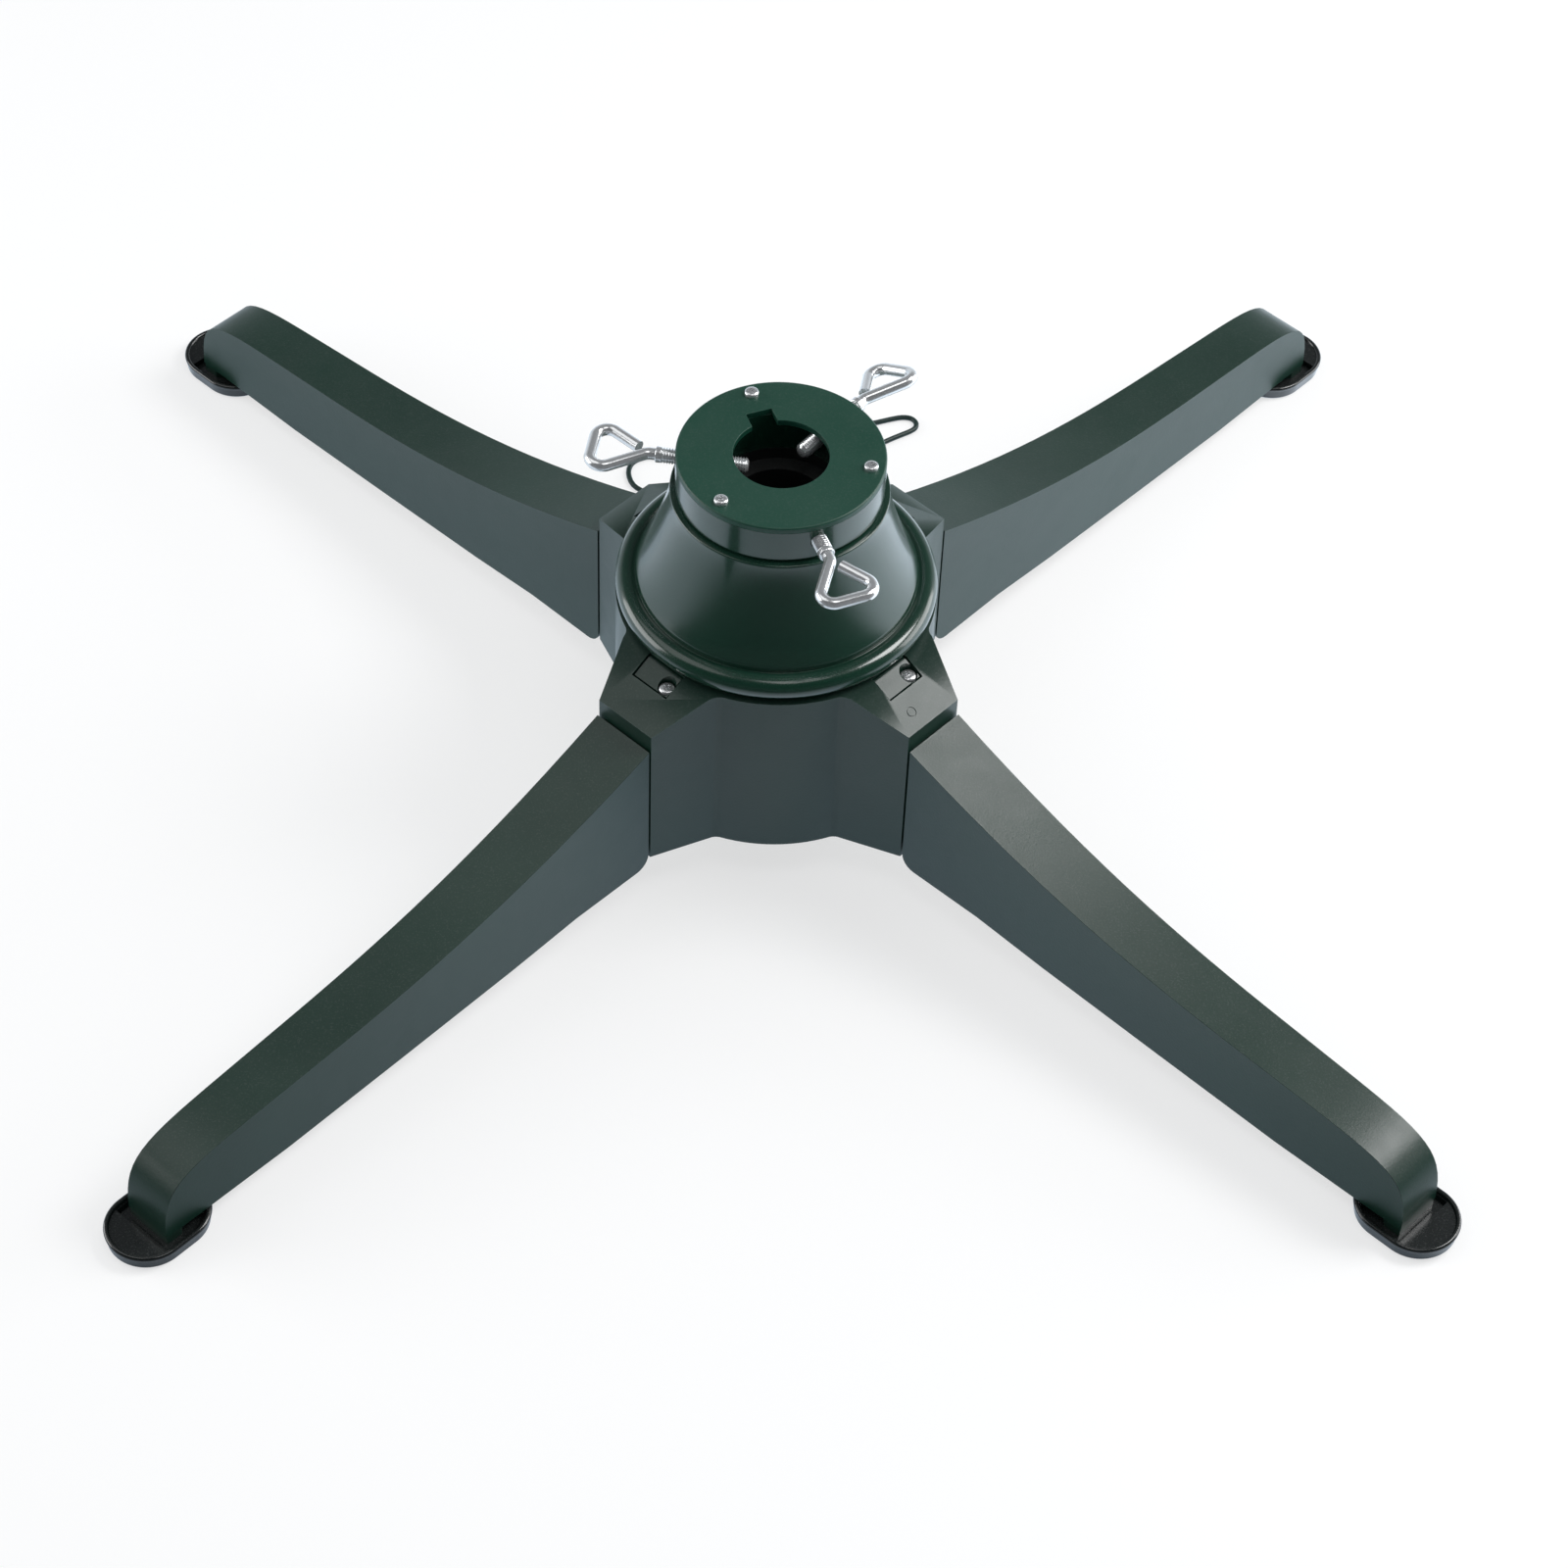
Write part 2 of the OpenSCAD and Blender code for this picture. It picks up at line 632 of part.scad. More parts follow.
module leg() {
    difference() {
        union() {
            leg_outer();
            leg_tongue();
        }
        leg_hollow();
        translate([foot_radius + cup_screw_x, 0, cup_floor - 1])
            cylinder(r = cup_screw_r + clear, h = cup_screw_length - cup_floor + 1 + 2 * screw_spare);
    }
}
module placed_leg(i) color(dark_green) rotate([0, 0, leg_bearings[i]]) leg();
module leg_rear_right() placed_leg(0);
module leg_rear_left() placed_leg(1);
module leg_front_left() placed_leg(2);
module leg_front_right() placed_leg(3);

module leg_screws() color(zinc) at_bearings(leg_bearings)
    at_leg_screw(leg_screw_seat) pan_screw(large_screw_r, leg_screw_length, leg_head_r, large_head_h);

// Oval cup with a rolled rim; the leg stands behind a half-moon ledge
module cup_half_section() {
    polygon([
        [0, 0], [cup_base_r, 0], [cup_base_r + 0.8, 0.9], [cup_r - 0.2, cup_height - cup_rim],
        [cup_r - 2 * cup_rim + 0.6, cup_height - cup_rim], [cup_well_r, cup_floor], [0, cup_floor]
    ]);
    translate([cup_r - cup_rim / 2 - 0.25, cup_height - cup_rim / 2 - 0.25])
        circle(r = cup_rim / 2 + 0.25, $fn = 32);
}
module foot_cup() {
    difference() {
        union() {
            rotate([0, 0, -90]) rotate_extrude(angle = 180) cup_half_section();
            translate([-cup_straight, 0, 0]) {
                rotate([0, 0, 90]) rotate_extrude(angle = 180) cup_half_section();
                rotate([90, 0, 90]) linear_extrude(cup_straight) {
                    cup_half_section();
                    mirror([1, 0]) cup_half_section();
                }
            }
            intersection() {
                translate([0, 0, cup_floor - 1]) cylinder(r = cup_r - cup_rim, h = ledge_top - cup_floor + 1);
                translate([ledge_x, -20, 0]) cube([20, 40, 20]);
            }
        }
        translate([cup_screw_x, 0, -1]) cylinder(r = cup_screw_r + clear, h = 10);
        translate([cup_screw_x, 0, -eps])
            cylinder(r1 = cup_head_r + gap, r2 = cup_screw_r + clear, h = cup_head_h + gap);
    }
}
module placed_cup(i) color(black) rotate([0, 0, leg_bearings[i]]) translate([foot_radius, 0, 0]) foot_cup();
module cup_rear_right() placed_cup(0);
module cup_rear_left() placed_cup(1);
module cup_front_left() placed_cup(2);
module cup_front_right() placed_cup(3);

// Countersunk screws that hold the cups under the legs
module cup_screws() color(zinc) at_bearings(leg_bearings)
    translate([foot_radius + cup_screw_x, 0, gap]) difference() {
    union() {
        cylinder(r1 = cup_head_r, r2 = cup_screw_r, h = cup_head_h);
        cylinder(r = cup_screw_r, h = cup_screw_length);
    }
    mirror([0, 0, 1]) cross_slot(3.2, 1);
}

// ---------- motor and drive ----------

module gear_motor() color(steel) difference() {
    union() {
        translate([0, motor_y, cover_top + gap]) cylinder(r = motor_r, h = motor_top - cover_top - gap);
        translate([-ear_x - ear_reach, motor_y - ear_half, motor_top - motor_plate])
            cube([2 * (ear_x + ear_reach), 2 * ear_half, motor_plate]);
        translate([0, shaft_y, motor_top - 1]) cylinder(r = motor_neck_r, h = 2);
        translate([-terminal_half, terminal_face - terminal_depth - 3, terminal_bottom])
            cube([2 * terminal_half, terminal_depth + 3, terminal_height]);
    }
    translate([0, shaft_y, shaft_bottom - 1]) cylinder(r = shaft_r + fit, h = 20);
    for (x = [-ear_x, ear_x]) translate([x, motor_y, motor_top - 3])
        cylinder(r = small_screw_r + clear, h = 5);
}

module motor_screws() color(zinc) for (x = [-ear_x, ear_x])
    translate([x, motor_y, motor_top])
        pan_screw(small_screw_r, motor_screw_length, small_head_r, small_head_h);

module motor_lead() color(black) swept_tube(smooth_route(motor_route), lead_r, 8);

// Output shaft with a flat that drives the pinion
module motor_shaft() color(steel) translate([0, shaft_y, 0]) difference() {
    translate([0, 0, shaft_bottom]) cylinder(r = shaft_r, h = gear_top + 1 - shaft_bottom);
    translate([-5, shaft_flat, shaft_flat_bottom]) cube([10, 5, 20]);
}

// Spur gear outline whose teeth roll on each other; tooth 0 points along +X
function roll(a) = tan(a) * 180 / PI - a;
function half_tooth(r, base, pitch) =
    (PI / 2 * gear_module - backlash / 2) / (2 * pitch) * 180 / PI
    + roll(pressure_angle) - roll(acos(min(1, base / r)));
function tooth_angles(teeth) =
    let (
        pitch = gear_module * teeth / 2,
        base = pitch * cos(pressure_angle),
        root = pitch - 1.25 * gear_module,
        tip = pitch + gear_module,
        low = max(root, base),
        flank = [for (i = [0:4]) mix(low, tip, i / 4)],
        rise = [for (r = flank) [r, half_tooth(r, base, pitch)]]
    )
    concat([[root, rise[0][1] + (root < base ? 0.6 : 0)]], rise);
module gear_outline(teeth) {
    side = tooth_angles(teeth);
    last = len(side) - 1;
    polygon([
        for (k = [0:teeth - 1]) each concat(
            [for (i = [0:last]) let (a = 360 * k / teeth - side[i][1]) side[i][0] * [cos(a), sin(a)]],
            [for (i = [last:-1:0]) let (a = 360 * k / teeth + side[i][1]) side[i][0] * [cos(a), sin(a)]]
        )
    ]);
}

module drive_pinion() color(nylon) translate([0, shaft_y, gear_bottom - pinion_over]) difference() {
    // Turned so that a gap between two teeth faces the large gear
    rotate([0, 0, 90 + 180 / pinion_teeth]) linear_extrude(gear_top - gear_bottom + 2 * pinion_over)
        gear_outline(pinion_teeth);
    difference() {
        translate([0, 0, -1]) cylinder(r = shaft_r + fit, h = 20);
        translate([-5, shaft_flat + fit, -2]) cube([10, 5, 22]);
    }
}

module drive_gear() color(nylon) difference() {
    union() {
        translate([0, 0, gear_bottom]) rotate([0, 0, -90]) linear_extrude(gear_top - gear_bottom)
            gear_outline(gear_teeth);
        translate([0, 0, gear_web]) cylinder(r = sleeve_r, h = gear_bottom - gear_web + 1);
    }
    translate([0, 0, tube_end]) cylinder(r = tube_r + clear, h = 20);
    at_bearings(gear_screw_bearings) translate([gear_screw_ring, 0, gear_web - 1])
        cylinder(r = large_screw_r + clear, h = 8);
}

module gear_screws() color(zinc) at_bearings(gear_screw_bearings)
    translate([gear_screw_ring, 0, gear_web]) mirror([0, 0, 1])
        pan_screw(large_screw_r, gear_screw_length, large_head_r, small_head_h);

// ---------- thrust bearing ----------

// Race with a rolled groove; it grows upwards (+1) or downwards (-1) from the balls
module race(side) {
    thick = side > 0 ? lower_flange - ball_z - race_lip : ball_z - race_lip - hub_top;
    from = side > 0 ? race_lip : -race_lip - thick;
    translate([0, 0, ball_z]) rotate_extrude() difference() {
        translate([race_in, from]) square([race_out - race_in, thick]);
        translate([ball_ring, -side * (groove_r - ball_r - fit)]) circle(r = groove_r, $fn = 48);
    }
}
module lower_race() color(steel) race(-1);
module upper_race() color(steel) race(1);

module ball_cage() color(nylon) difference() {
    translate([0, 0, ball_z - cage_thick / 2]) difference() {
        cylinder(r = race_out - 1.5, h = cage_thick);
        translate([0, 0, -1]) cylinder(r = race_in + 1, h = 4);
    }
    at_bearings(around(ball_count)) translate([ball_ring, 0, ball_z - 2])
        cylinder(r = ball_r + clear, h = 4, $fn = 48);
}
module bearing_balls() color(zinc) at_bearings(around(ball_count))
    translate([ball_ring, 0, ball_z]) sphere(r = ball_r, $fn = 32);

// ---------- turntable ----------

module pole_tube() color(steel) difference() {
    union() {
        rotate_extrude() polygon([
            [0, tube_end], [tube_r, tube_end], [tube_r, lower_flange],
            [lower_flange_r, lower_flange], [lower_flange_r, lower_flange + lower_flange_thick],
            [tube_r, lower_flange + lower_flange_thick], [tube_r, ledge_z - neck_floor - neck_slope],
            [neck_r + neck_wall, ledge_z - neck_floor], [neck_r + neck_wall, head_flange - head_flange_thick],
            [head_flange_r, head_flange - head_flange_thick], [head_flange_r, head_flange],
            [neck_r, head_flange], [neck_r, ledge_z], [socket_r, ledge_z],
            [socket_r, tube_end + tube_floor], [0, tube_end + tube_floor]
        ]);
        at_bearings(around(gussets)) side_plate([
            [tube_r - 0.5, lower_flange + 1], [lower_flange_r - 2, lower_flange + 1],
            [lower_flange_r - 2, lower_flange + lower_flange_thick + 1],
            [tube_r - 0.5, lower_flange + gusset_height]
        ], -gusset_thick / 2, gusset_thick / 2);
    }
    at_bearings(gear_screw_bearings) translate([gear_screw_ring, 0, tube_end - 1])
        cylinder(r = large_screw_r + clear, h = tube_floor + 0.2);
    at_bearings(collar_screw_bearings) translate([collar_screw_ring, 0, head_flange - 5])
        cylinder(r = large_screw_r + clear, h = 10);
}

// Flared cover with a rolled lower rim: down the outside, round the roll, up the inside
function clear_of_rim(points) = [for (p = points) if (norm(p - rim_at) > rim_r + 0.3) p];
module bell_cover() color(green) difference() {
    inside = curve_offset(bell_curve, bell_steps, bell_wall);
    rotate_extrude() polygon(concat(
        [[neck_r, bell_top], [bell_curve[0].x - 0.5, bell_top]],
        clear_of_rim(curve_points(bell_curve, bell_steps)),
        [for (a = [rim_first:-15:rim_last]) rim_at + rim_r * [cos(a), sin(a)]],
        clear_of_rim([for (i = [bell_steps:-1:0]) if (inside[i].y < head_flange) inside[i]]),
        [[bell_curve[0].x - bell_wall, head_flange], [neck_r, head_flange]]
    ));
    at_bearings(collar_screw_bearings) translate([collar_screw_ring, 0, head_flange - 2])
        cylinder(r = large_screw_r + clear, h = 8);
}

module head_collar() color(green) difference() {
    rotate_extrude() polygon([
        [neck_r, bell_top], [head_r - groove_depth, bell_top], [head_r - groove_depth, groove_top],
        [head_r - collar_edge, groove_top], [head_r, groove_top + collar_edge], [head_r, collar_top],
        [neck_r, collar_top]
    ]);
    at_bearings(bolt_bearings) {
        translate([neck_r - 2, 0, bolt_z]) rotate([0, 90, 0]) cylinder(r = bolt_r + bolt_gap, h = head_r);
        translate([nut_x - nut_gap, -nut_corners / 2 - nut_gap, bolt_z - nut_flats / 2 - nut_gap])
            cube([nut_thick + 2 * nut_gap, nut_corners + 2 * nut_gap, 2 * nut_flats]);
    }
    at_bearings(plate_screw_bearings)
        translate([plate_screw_ring, 0, plate_top - plate_screw_length - screw_spare])
            cylinder(r = small_screw_r + clear, h = plate_screw_length);
    at_bearings(collar_screw_bearings) translate([collar_screw_ring, 0, head_flange - head_flange_thick])
        cylinder(r = large_screw_r + clear, h = collar_screw_length + screw_spare);
}

module collar_screws() color(zinc) at_bearings(collar_screw_bearings)
    translate([collar_screw_ring, 0, head_flange - head_flange_thick]) mirror([0, 0, 1])
        pan_screw(large_screw_r, collar_screw_length, large_head_r, large_head_h);

// Round plate with the pole hole and a notch for the cable of the tree's lights
module top_plate() color(green) difference() {
    rotate_extrude() polygon([
        [socket_r, collar_top], [head_r, collar_top], [head_r, plate_top - plate_edge],
        [head_r - plate_edge, plate_top], [socket_r, plate_top]
    ]);
    rotate([0, 0, notch_bearing]) translate([0, -notch_width / 2, collar_top - 1])
        cube([notch_reach, notch_width, plate_thick + 2]);
    at_bearings(plate_screw_bearings) translate([plate_screw_ring, 0, collar_top - 1])
        cylinder(r = small_screw_r + clear, h = plate_thick + 2);
}

module plate_screws() color(zinc) at_bearings(plate_screw_bearings)
    translate([plate_screw_ring, 0, plate_top])
        pan_screw(small_screw_r, plate_screw_length, plate_head_r, small_head_h);

// Hexagon nuts caught in the collar, flats up and down
module clamp_nuts() color(zinc) at_bearings(bolt_bearings) translate([nut_x, 0, bolt_z]) rotate([0, 90, 0])
    difference() {
        linear_extrude(nut_thick) rotate(90) circle(r = nut_corners / 2, $fn = 6);
        translate([0, 0, -1]) cylinder(r = bolt_r + fit, h = nut_thick + 2);
    }

// Flat line through a list of points, with its inner corners rounded to one radius
function rounded_line(p, r, steps) = concat(
    [p[0]],
    [
        for (i = [1:len(p) - 2])
            let (
                u = (p[i] - p[i - 1]) / norm(p[i] - p[i - 1]),
                v = (p[i + 1] - p[i]) / norm(p[i + 1] - p[i]),
                turn = acos(u * v),
                left = cross(u, v) > 0 ? 1 : -1,
                start = p[i] - r * tan(turn / 2) * u,
                centre = start + left * r * [-u.y, u.x]
            )
            for (k = [0:steps])
                let (a = atan2(u.y, u.x) - left * 90 + left * turn * k / steps)
                centre + r * [cos(a), sin(a)]
    ],
    [p[len(p) - 1]]
);

// Threaded bolt whose tail is bent to a closed triangle. The lean turns the eye about the shank,
// and the hand says to which side the wire runs first.
module clamp_bolt(bearing, hand, lean) color(zinc) rotate([0, 0, bearing]) translate([0, 0, bolt_z])
    rotate([lean, 0, 0]) mirror([0, hand > 0 ? 0 : 1, 0]) {
        translate([bolt_tip + bolt_chamfer, 0, 0]) rotate([0, 90, 0])
            cylinder(r = bolt_r, h = shank_end - bolt_tip - bolt_chamfer);
        translate([bolt_tip, 0, 0]) rotate([0, 90, 0])
            cylinder(r1 = bolt_r - bolt_chamfer, r2 = bolt_r, h = bolt_chamfer);
        swept_tube([for (p = rounded_line(eye_corners, eye_bend, eye_steps)) [p.x, p.y, 0]], eye_wire_r, 16);
    }
module clamp_bolt_front() clamp_bolt(bolt_bearings[0], -1, 0);
module clamp_bolt_rear_right() clamp_bolt(bolt_bearings[1], -1, -23.5);
module clamp_bolt_left() clamp_bolt(bolt_bearings[2], 1, 0);

// ---------- power lead ----------

// Ribbed, tapering sleeve where the lead leaves the hub
module strain_relief() color(black) translate([0, relief_inner, relief_z]) rotate([-90, 0, 0]) difference() {
    union() {
        // The lip stays inside the drum's curved wall
        cylinder(
            r = relief_lip_r, $fn = 48,
            h = sqrt(pow(hub_r - hub_wall, 2) - pow(relief_lip_r, 2)) - relief_inner - clear
        );
        cylinder(r = relief_neck_r, h = hub_r + 1 - relief_inner, $fn = 48);
        translate([0, 0, hub_r + gap - relief_inner])
            cylinder(r = relief_flange_r, h = relief_flange_thick, $fn = 48);
        translate([0, 0, hub_r + 1 - relief_inner])
            cylinder(r1 = relief_neck_r, r2 = lead_r + 1, h = relief_y - hub_r - 1, $fn = 48);
    }
    for (i = [0:relief_ribs - 1]) translate([0, 0, hub_r + 4 - relief_inner + 3 * i]) difference() {
        cylinder(r = relief_flange_r + 2, h = relief_flange_thick);
        translate([0, 0, -1]) cylinder(r = mix(relief_neck_r - 1.3, lead_r + 0.5, i / relief_ribs), h = 4);
    }
}

module power_cord() color(black) swept_tube(smooth_route(lead_route), lead_r, 8);

// The stored turns: one lead that winds in and out in layers and climbs where it turns back
function coil_point(t) =
    let (
        layer = min(coil_layers - 1, floor(t / (coil_spiral + coil_climb))),
        u = t - layer * (coil_spiral + coil_climb),
        wound = min(u, coil_spiral) * coil_pitch,
        climbed = max(0, u - coil_spiral) / coil_climb,
        r = layer % 2 == 0 ? coil_outer - wound : coil_outer - coil_spiral * coil_pitch + wound,
        a = 180 + 360 * t
    )
    [coil_at.x + r * cos(a), coil_at.y + r * sin(a), coil_z + coil_pitch * (layer + climbed)];
coil_path = concat(
    [[coil_at.x - coil_outer, coil_at.y + lead_d, coil_z]],
    [for (i = [0:coil_turns * coil_rings]) coil_point(i / coil_rings)],
    [[coil_at.x + coil_outer, coil_at.y + lead_d, coil_end_z]]
);
coil_gap = min([
    for (i = [0:len(coil_path) - 1], j = [i + coil_rings / 2:1:min(len(coil_path) - 1, i + coil_rings * 9)])
        norm(coil_path[i] - coil_path[j])
]) - lead_d;
module cord_coil() {
    echo(coil_gap = coil_gap, coil_length = path_length(coil_path));
    color(black) swept_tube(coil_path, lead_r, coil_sides);
}

module cord_tail() color(black) swept_tube(smooth_route(tail_route), lead_r, 8);

// Band round the coil's bundle; the coil lies on it
module cord_tie() color(black) {
    low = coil_outer - coil_spiral * coil_pitch - lead_r - tie_gap;
    high = coil_outer + lead_r + tie_gap;
    top = coil_end_z + lead_r + tie_gap;
    translate([coil_at.x, coil_at.y, 0]) rotate([0, 0, 60]) difference() {
        translate([low - tie_thick, -tie_width / 2, 0])
            cube([high - low + 2 * tie_thick, tie_width, top + tie_thick]);
        translate([low, -tie_width / 2 - 1, tie_thick]) cube([high - low, tie_width + 2, top - tie_thick]);
    }
}

module along_plug() translate([plug_at.x, plug_at.y, plug_r]) rotate([90, 0, 0]) children();
module dc_plug() color(black) along_plug() {
    cylinder(r1 = plug_neck_r, r2 = plug_neck_r + 0.8, h = plug_neck, $fn = 48);
    translate([0, 0, plug_neck]) cylinder(r1 = plug_neck_r + 0.8, r2 = plug_r, h = 2, $fn = 48);
    translate([0, 0, plug_neck + 2]) cylinder(r = plug_r, h = plug_length - plug_neck - 2, $fn = 48);
}
module dc_plug_barrel() color(zinc) along_plug() translate([0, 0, plug_length]) difference() {
    cylinder(r = barrel_r, h = barrel_length, $fn = 48);
    translate([0, 0, 0.6]) cylinder(r = barrel_bore, h = barrel_length, $fn = 32);
}

echo(
    route_length = path_length(smooth_route(lead_route)),
    tail_length = path_length(smooth_route(tail_route))
);

hub_shell();
bottom_cover();
cover_screws();
leg_rear_right();
leg_rear_left();
leg_front_left();
leg_front_right();
leg_screws();
cup_rear_right();
cup_rear_left();
cup_front_left();
cup_front_right();
cup_screws();
gear_motor();
motor_screws();
motor_lead();
motor_shaft();
drive_pinion();
lower_race();
ball_cage();
bearing_balls();
upper_race();
pole_tube();
drive_gear();
gear_screws();
bell_cover();
head_collar();
collar_screws();
top_plate();
plate_screws();
clamp_nuts();
clamp_bolt_front();
clamp_bolt_rear_right();
clamp_bolt_left();
strain_relief();
power_cord();
cord_coil();
cord_tail();
cord_tie();
dc_plug();
dc_plug_barrel();
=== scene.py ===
"""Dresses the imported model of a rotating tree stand: finer pieces, materials, camera, light and floor."""
import json
import math
from contextlib import contextmanager

import bmesh
import bpy
from bpy.props import FloatProperty, FloatVectorProperty, IntProperty, PointerProperty
from mathutils import Matrix, Vector


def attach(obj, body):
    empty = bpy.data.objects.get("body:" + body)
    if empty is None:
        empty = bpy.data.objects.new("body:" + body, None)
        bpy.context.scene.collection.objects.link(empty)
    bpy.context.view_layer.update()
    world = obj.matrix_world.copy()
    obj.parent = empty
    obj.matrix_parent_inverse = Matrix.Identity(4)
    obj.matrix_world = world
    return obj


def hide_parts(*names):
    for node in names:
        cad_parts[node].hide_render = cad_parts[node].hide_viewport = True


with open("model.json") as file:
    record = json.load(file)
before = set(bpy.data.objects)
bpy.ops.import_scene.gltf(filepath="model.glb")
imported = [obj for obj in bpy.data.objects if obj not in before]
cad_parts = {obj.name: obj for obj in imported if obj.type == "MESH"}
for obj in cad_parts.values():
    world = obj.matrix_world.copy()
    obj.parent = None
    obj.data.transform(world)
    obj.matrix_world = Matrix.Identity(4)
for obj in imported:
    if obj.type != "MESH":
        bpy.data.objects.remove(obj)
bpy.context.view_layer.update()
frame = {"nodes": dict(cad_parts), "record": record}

bl_info = {
    "name": "Rotating Tree Stand",
    "version": (1, 0, 0),
    "blender": (4, 5, 0),
    "location": "View3D > Sidebar > Tree Stand",
    "description": "Finishes the pieces of a rotating tree stand and sets up its studio",
    "category": "Object",
}

MM = 0.001


# ---------- sizes and colours ----------

def length(name, description, default):
    return FloatProperty(name=name, description=description, default=default, min=0.0, precision=5,
                         subtype="DISTANCE", unit="LENGTH")


def colour(name, description, default):
    return FloatVectorProperty(name=name, description=description, default=default, size=3, min=0.0, max=1.0,
                               subtype="COLOR")


def power(name, description, default):
    return FloatProperty(name=name, description=description, default=default, min=0.0, unit="POWER")


def brightness(name, description, default):
    return FloatProperty(name=name, description=description, default=default, min=0.0, max=1.0,
                         subtype="FACTOR")


class StandFinish(bpy.types.PropertyGroup):
    """Colours of the stand's finishes."""
    moulded_green: colour("Moulded green", "Satin plastic of the hub and the legs", (0.006, 0.027, 0.018))
    glossy_green: colour("Glossy green", "Bell cover and head collar", (0.006, 0.033, 0.020))
    plate_green: colour("Plate green", "Enamel of the head's plate", (0.004, 0.048, 0.029))
    foot_black: colour("Foot black", "Foot cups", (0.006, 0.008, 0.008))
    black_plastic: colour("Black plastic", "Pole tube, strain relief and plug", (0.012, 0.013, 0.013))
    lead_green: colour("Lead green", "Jacket of the low-voltage lead", (0.008, 0.026, 0.022))
    zinc: colour("Zinc", "Bolts and screws", (0.86, 0.87, 0.88))
    steel: colour("Steel", "Bearing and motor", (0.52, 0.52, 0.53))
    nylon: colour("Nylon", "Gears and ball cage", (0.82, 0.79, 0.70))


class StandSizes(bpy.types.PropertyGroup):
    """Sizes of the details that are added to the model, and the brightness of the studio."""
    edge_round: length("Moulded edge", "Most that outer edges of hub and legs are rounded", 0.9 * MM)
    rib_round: length("Inner edge", "Most that ribs, windows and small edges are rounded", 0.3 * MM)
    lead_diameter: length("Lead diameter", "Outer diameter of the low-voltage lead", 2.2 * MM)
    thread_pitch: length("Thread pitch", "Distance between two turns of the clamp bolts' thread", 1.0 * MM)
    thread_depth: length("Thread depth", "Depth of the clamp bolts' thread", 0.55 * MM)
    wire_radius: length("Eye wire", "Radius of the bent wire of the eyes", 2.25 * MM)
    turned_steps: IntProperty(name="Steps round", description="Faces round a turned piece", default=160,
                              min=24)
    key_power: power("Key lamp", "Power of the softbox high on the right", 12.0)
    right_power: power("Right lamp", "Power of the low softbox on the right", 11.0)
    left_power: power("Left lamp", "Power of the low softbox on the left", 11.0)
    top_power: power("Overhead lamp", "Power of the softbox high on the left", 2.6)
    front_power: power("Front lamp", "Power of the softbox over the front", 2.4)
    room_light: brightness("Room light", "Even light from the room", 0.30)
    room_gloss: brightness("Room in gloss", "How bright the room is in reflections", 0.09)
    floor_lift: brightness("Floor lift", "Paleness that the floor adds for the camera and in gloss", 0.64)


def finish():
    return bpy.context.scene.tree_stand_finish


def sizes():
    return bpy.context.scene.tree_stand_sizes


# ---------- node helpers ----------

def add(tree, kind, values=None, **settings):
    """A new node with its settings, and values for its inputs by name or number."""
    node = tree.nodes.new(kind)
    for key, value in settings.items():
        setattr(node, key, value)
    for key, value in (values or {}).items():
        node.inputs[key].default_value = value
    return node


def join(tree, *pairs):
    for source, target in pairs:
        tree.links.new(source, target)


def feed(tree, slot, value):
    """Links an input to a socket, or sets it to a number or a colour."""
    if isinstance(value, bpy.types.NodeSocket):
        tree.links.new(value, slot)
    elif isinstance(value, (int, float)):
        slot.default_value = value
    else:
        slot.default_value = (*value, 1.0)


def maths(tree, operation, a, b=None, clamp=False):
    """A Math node whose inputs are sockets or numbers; gives its output."""
    node = add(tree, "ShaderNodeMath", operation=operation, use_clamp=clamp)
    for slot, value in zip(node.inputs, (a, b)):
        if value is not None:
            feed(tree, slot, value)
    return node.outputs[0]


def times(tree, a, b, clamp=False):
    return maths(tree, "MULTIPLY", a, b, clamp)


def plus(tree, a, b, clamp=False):
    return maths(tree, "ADD", a, b, clamp)


def minus(tree, a, b, clamp=False):
    return maths(tree, "SUBTRACT", a, b, clamp)


def blend_colour(tree, factor, a, b):
    """A Mix node for colours; gives its output."""
    node = add(tree, "ShaderNodeMix", data_type="RGBA")
    for number, value in ((0, factor), (6, a), (7, b)):
        feed(tree, node.inputs[number], value)
    return node.outputs[2]


def own_place(tree):
    """Where a point lies on its own piece."""
    return add(tree, "ShaderNodeTexCoord").outputs["Object"]


def apart(tree, vector):
    """The X, Y and Z of a vector, by name."""
    node = add(tree, "ShaderNodeSeparateXYZ")
    feed(tree, node.inputs[0], vector)
    return node.outputs


def together(tree, x, y, z):
    """A vector of three sockets or numbers."""
    node = add(tree, "ShaderNodeCombineXYZ")
    for slot, value in zip(node.inputs, (x, y, z)):
        feed(tree, slot, value)
    return node.outputs[0]


def noise(tree, place, scale, detail, rough=0.5, swirl=0.0):
    """The value of a noise texture."""
    node = add(tree, "ShaderNodeTexNoise", {"Detail": detail, "Roughness": rough, "Distortion": swirl})
    feed(tree, node.inputs["Vector"], place)
    feed(tree, node.inputs["Scale"], scale)
    return node.outputs["Fac"]


def ramp(tree, value, start, end, low, high, kind="LINEAR"):
    """Carries a value between start and end over to low and high."""
    ends = {"From Min": start, "From Max": end, "To Min": low, "To Max": high}
    node = add(tree, "ShaderNodeMapRange", ends, interpolation_type=kind)
    feed(tree, node.inputs["Value"], value)
    return node.outputs[0]


def cleared_tree(owner):
    """The node tree of a material or a world, without its first nodes."""
    owner.use_nodes = True
    owner.node_tree.nodes.clear()
    return owner.node_tree


